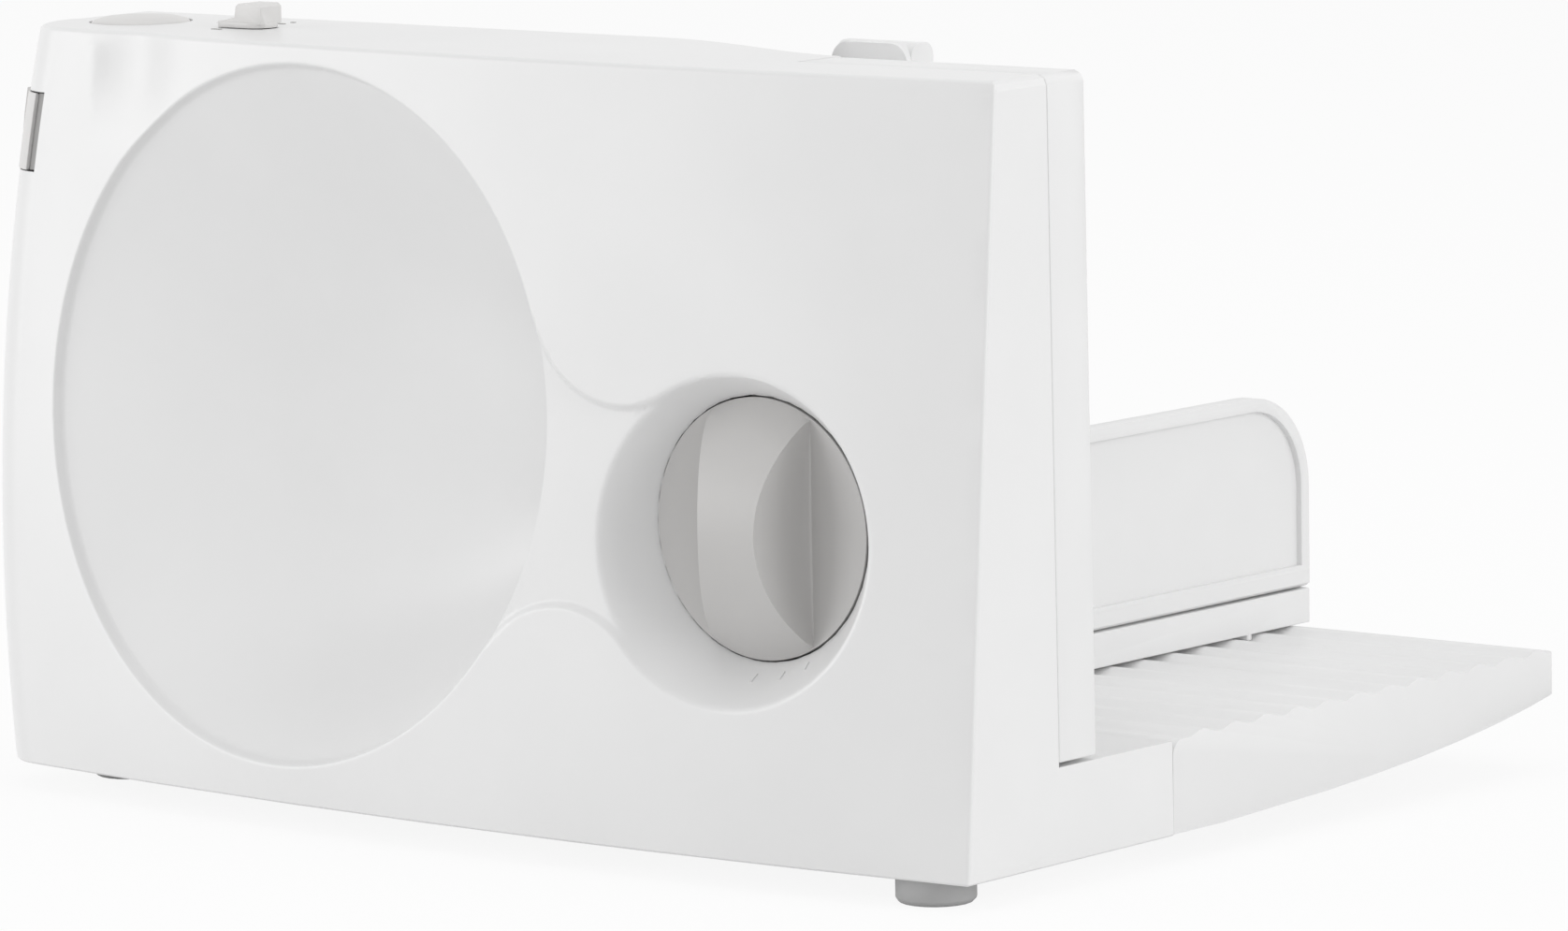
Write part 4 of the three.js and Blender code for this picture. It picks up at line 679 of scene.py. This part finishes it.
def behind_window(face):
    """Corner walls behind the side button's window, which the skin covers elsewhere"""
    for vert in face.verts:
        x, y, z = vert.co * 1000
        corner = left_end(z) + CORNER_WIDTH
        if x > corner + 2 or y + DEPTH_CENTRE > face_y(corner, z) + CORNER_DEPTH + 0.5:
            return False
    heights = [vert.co.z * 1000 for vert in face.verts]
    return min(heights) < window[1] and max(heights) > window[0]


hidden = [face for face in shape.faces if covered.issuperset(face.verts) or behind_window(face)]
bmesh.ops.delete(shape, geom=hidden, context="FACES")
shape.to_mesh(core)
shape.free()
core.shade_smooth()
core.set_sharp_from_angle(angle=math.radians(25))
add("housing_core", core, "front_housing")


def bar(shape, centre, along, across, length, width, height):
    """A low raised bar on a surface that is spanned by along and across"""
    along, across = along.normalized(), across.normalized()
    axes = Matrix((along * length, across * width, along.cross(across) * height))
    place = Matrix.Translation(centre) @ axes.transposed().to_4x4()
    bmesh.ops.create_cube(shape, size=0.001, matrix=place)


# Moulded marks: a line before the lever, a line and a dot behind it, three ticks in the knob's dish
LEVER_MARKS = ((-100.7, 45.5, 3.0), (-96.9, 65.8, 3.0), (-96.5, 70.4, 1.2))
shape = bmesh.new()
for x, y, length in LEVER_MARKS:
    bar(shape, row(x, y, TOP), Vector((1, 0, 0)), Vector((0, 1, 0)), length, 1.0, 0.3)
marks = mesh_from(shape, "lever_marks")
add("lever_marks", marks, "front_housing", material=MATERIALS["dusk"])
TICK_TURNS, TICK_RISE = (-89, -75, -62), 3.2
shape = bmesh.new()
for degrees in TICK_TURNS:
    outward = Vector((math.cos(math.radians(degrees)), 0, math.sin(math.radians(degrees))))
    radius = DISH_BOTTOM + TICK_RISE
    steep = 1 / dish_slope(outward.x, outward.z)
    centre = Vector((KNOB_X, DISH_REACH - TICK_RISE * steep, KNOB_Z)) + outward * radius
    slope = outward - Vector((0, steep, 0))
    bar(shape, row(*centre), slope, outward.cross(Vector((0, 1, 0))), 3.0, 0.5, 0.5)
add("dial_ticks", mesh_from(shape, "dial_ticks"), "front_housing")


# Side button: a cap round the corner, and in front of it a recessed dark grey strip that paints the
# shade of the notch's wall
CAP_THICKNESS = 0.0012


def button_cap(name, first, last, proud, material):
    """A plate round the corner between two turns in degrees, proud of the skin"""
    shape = bmesh.new()
    room = window[1] - window[0] - 2 * WINDOW_GAP
    heights = [window[0] + WINDOW_GAP + room * k / 12 for k in range(13)]
    turns = [math.radians(first + (last - first) * k / 14) for k in range(15)]
    strip(shape, [[corner_point(z, t, proud=proud) for t in turns] for z in heights])
    bmesh.ops.recalc_face_normals(shape, faces=shape.faces)
    if sum(face.normal.x for face in shape.faces) > 0:
        bmesh.ops.reverse_faces(shape, faces=shape.faces)
    mesh = mesh_from(shape, name)
    mesh.shade_smooth()
    obj = add(name, mesh, "side_button", material=material)
    thick = obj.modifiers.new("thickness", "SOLIDIFY")
    thick.thickness = CAP_THICKNESS
    thick.offset = -1
    soften(obj, 0.0003)


button_cap("side_button_cap", 18, 80, 0.4, MATERIALS["control"])
# Painted shade: the strip's dark grey stands for the shadow on the notch's wall in front of the cap
button_cap("side_button_painted_shade", 8.5, 17.8, -0.6, MATERIALS["dusk"])

# Knob: a disc whose domed bar stands between two finger valleys and meets the rim at both ends
GRIP_HEIGHT, WAIST, CREASE, VALLEY, KNOB_SIDES = 14.0, 8.6, 15.6, 4.5, 160
BAR_STEPS = (0, 0.25, 0.5, 0.75, 0.9, 1.0)
VALLEY_STEPS = (0.05, 0.12, 0.2, 0.3, 0.42, 0.56, 0.7, 0.84, 0.94, 1.0)
RIM_SHARES = (0.06, 0.2, 0.4, 0.6, 0.8, 0.92)
CREASE_END = math.sqrt(KNOB_RADIUS ** 2 - CREASE ** 2)


def knob_lines(v):
    """The bar's edge, the crease's place and its depth at one height"""
    end = min((v / CREASE_END) ** 2, 1.0)
    depth = VALLEY * (1 - end)
    return WAIST + (CREASE - WAIST) * end, CREASE - 0.8 * depth, depth


def valley_wall(t):
    """The eased fall from the bar's edge to the crease"""
    return math.sin(smooth(-0.12, 1.0, t) * math.pi / 2)


def knob_y(x, z):
    """The depth of the knob's front"""
    u, v = abs(x - KNOB_X), z - KNOB_Z
    edge, crease, depth = knob_lines(v)
    chord = max(KNOB_RADIUS ** 2 - min(u, edge) ** 2, 0.01)
    crown = GRIP_HEIGHT * max(1 - v ** 2 / chord, 0)
    if u <= edge or crease - edge < 0.05:
        rise = crown
    elif u < crease:
        t = (u - edge) / (crease - edge)
        rise = crown - (crown + depth) * valley_wall(t)
        rise += (crown + depth) * valley_wall(0) * (1 - t)
    else:
        rim = math.sqrt(max(KNOB_RADIUS ** 2 - v ** 2, 0.01))
        t = min((u - crease) / max(rim - crease, 0.05), 1.0)
        rise = -depth * (1 - t) ** 1.5
    return KNOB_RIM_Y - rise


def knob_points():
    """Points of the knob's front along its edges and valleys"""
    points = []
    for radius in (KNOB_RADIUS - 0.5, KNOB_RADIUS):
        points += ring(KNOB_X, KNOB_Z, radius, KNOB_SIDES)
    for k in range(-44, 45):
        v = 0.7 * k
        edge, crease, _ = knob_lines(v)
        rim = math.sqrt(KNOB_RADIUS ** 2 - v ** 2)
        us = [edge * f for f in BAR_STEPS]
        us += [edge + (crease - edge) * f for f in VALLEY_STEPS]
        us += [crease + (rim - crease) * f for f in RIM_SHARES]
        for u in us:
            if math.hypot(u, v) < KNOB_RADIUS - 0.9:
                points += [knob_at + Vector((side * u, v)) for side in (1, -1)]
    return points


shape = bmesh.new()
sheet(shape, knob_points(), knob_y, lambda centre: True)
outline = ring(KNOB_X, KNOB_Z, KNOB_RADIUS, KNOB_SIDES)
outline.append(outline[0])
rim_line = [row(p.x, knob_y(p.x, p.y), p.y) for p in outline]
strip(shape, [rim_line, [row(p.x, KNOB_BACK, p.y) for p in outline]])
bmesh.ops.remove_doubles(shape, verts=shape.verts, dist=0.00004)
bmesh.ops.holes_fill(shape, edges=[edge for edge in shape.edges if edge.is_boundary], sides=0)
bmesh.ops.recalc_face_normals(shape, faces=shape.faces)
knob = mesh_from(shape, "knob")
knob.shade_smooth()
knob.set_sharp_from_angle(angle=math.radians(30))
add("knob", knob, "thickness_knob")

# Floor, light and camera. The floor is white only in part, so that it keeps the shadow
FLOOR_REACH, FLOOR_WHITE, WORLD_LIGHT = 6.0, 0.9, 0.665
floor_mesh = bpy.data.meshes.new("floor")
corners = ((-1, -1), (1, -1), (1, 1), (-1, 1))
corners = [(x * FLOOR_REACH, y * FLOOR_REACH, 0) for x, y in corners]
floor_mesh.from_pydata(corners, [], [(0, 1, 2, 3)])
floor = bpy.data.objects.new("floor", floor_mesh)
scene.collection.objects.link(floor)


def seen_directly(tree):
    """1 for camera, glossy and transmitted rays, which see the white background"""
    path = tree.nodes.new("ShaderNodeLightPath")
    total = path.outputs["Is Camera Ray"]
    for name in ("Is Glossy Ray", "Is Transmission Ray"):
        larger = tree.nodes.new("ShaderNodeMath")
        larger.operation = "MAXIMUM"
        link(tree, total, larger.inputs[0])
        link(tree, path.outputs[name], larger.inputs[1])
        total = larger.outputs[0]
    return total


floor_material = bpy.data.materials.new("pale_floor")
floor_material.use_nodes = True
tree = floor_material.node_tree
shader = tree.nodes["Principled BSDF"]
shader.inputs["Base Color"].default_value = (0.85, 0.85, 0.85, 1)
shader.inputs["Roughness"].default_value = 0.9
shader.inputs["Specular IOR Level"].default_value = 0.0
white = tree.nodes.new("ShaderNodeEmission")
blend = tree.nodes.new("ShaderNodeMixShader")
share = tree.nodes.new("ShaderNodeMath")
share.operation = "MULTIPLY"
share.inputs[1].default_value = FLOOR_WHITE
link(tree, seen_directly(tree), share.inputs[0])
link(tree, share.outputs[0], blend.inputs["Fac"])
link(tree, shader.outputs["BSDF"], blend.inputs[1])
link(tree, white.outputs["Emission"], blend.inputs[2])
link(tree, blend.outputs["Shader"], tree.nodes["Material Output"].inputs["Surface"])
floor_mesh.materials.append(floor_material)

world = bpy.data.worlds.new("studio")
scene.world = world
world.use_nodes = True
tree = world.node_tree
strength = tree.nodes.new("ShaderNodeMapRange")
strength.inputs["To Min"].default_value = WORLD_LIGHT
strength.inputs["To Max"].default_value = 1.0
link(tree, seen_directly(tree), strength.inputs["Value"])
tree.nodes["Background"].inputs["Color"].default_value = (1, 1, 1, 1)
link(tree, strength.outputs["Result"], tree.nodes["Background"].inputs["Strength"])


def softbox(name, place, target, size, power):
    """A square area light that looks at a point"""
    light = bpy.data.lights.new(name, "AREA")
    light.shape = "SQUARE"
    light.size = size
    light.energy = power
    lamp = bpy.data.objects.new(name, light)
    lamp.location = place
    lamp.rotation_mode = "QUATERNION"
    lamp.rotation_quaternion = (Vector(target) - Vector(place)).to_track_quat("-Z", "Y")
    scene.collection.objects.link(lamp)


softbox("key", (-1.3, -1.15, 0.28), (-0.08, 0, 0.12), 1.1, 11.5)
softbox("fill", (2.3, 0.1, 0.8), (0.1, 0, 0.1), 1.4, 17.5)
softbox("top", (0.1, 0.1, 1.8), (0, 0, 0.1), 1.6, 6)

# Camera as fitted to the photograph: place in metres, turns in degrees, focal length in its pixels
CAMERA_PLACE, CAMERA_TURNS = (1.42775, -1.7744, 0.3842), (38.4896, 7.5739, -0.9361)
FOCAL, PHOTO_WIDTH, SENSOR = 9518.44, 1676, 36
yaw, pitch, roll = (math.radians(a) for a in CAMERA_TURNS)
level = math.cos(pitch)
ahead = Vector((-math.sin(yaw) * level, math.cos(yaw) * level, -math.sin(pitch)))
right = Vector((math.cos(yaw), math.sin(yaw), 0))
above = right.cross(ahead)
across = math.cos(roll) * right + math.sin(roll) * above
upward = math.cos(roll) * above - math.sin(roll) * right
camera_data = bpy.data.cameras.new("camera")
camera_data.sensor_fit = "HORIZONTAL"
camera_data.sensor_width = SENSOR
camera_data.lens = SENSOR * FOCAL / PHOTO_WIDTH
camera_data.clip_end = 50
camera = bpy.data.objects.new("camera", camera_data)
turn = Matrix((across, upward, -ahead)).transposed().to_4x4()
camera.matrix_world = Matrix.Translation(CAMERA_PLACE) @ turn
scene.collection.objects.link(camera)
scene.camera = camera

scene.view_settings.view_transform = "Standard"
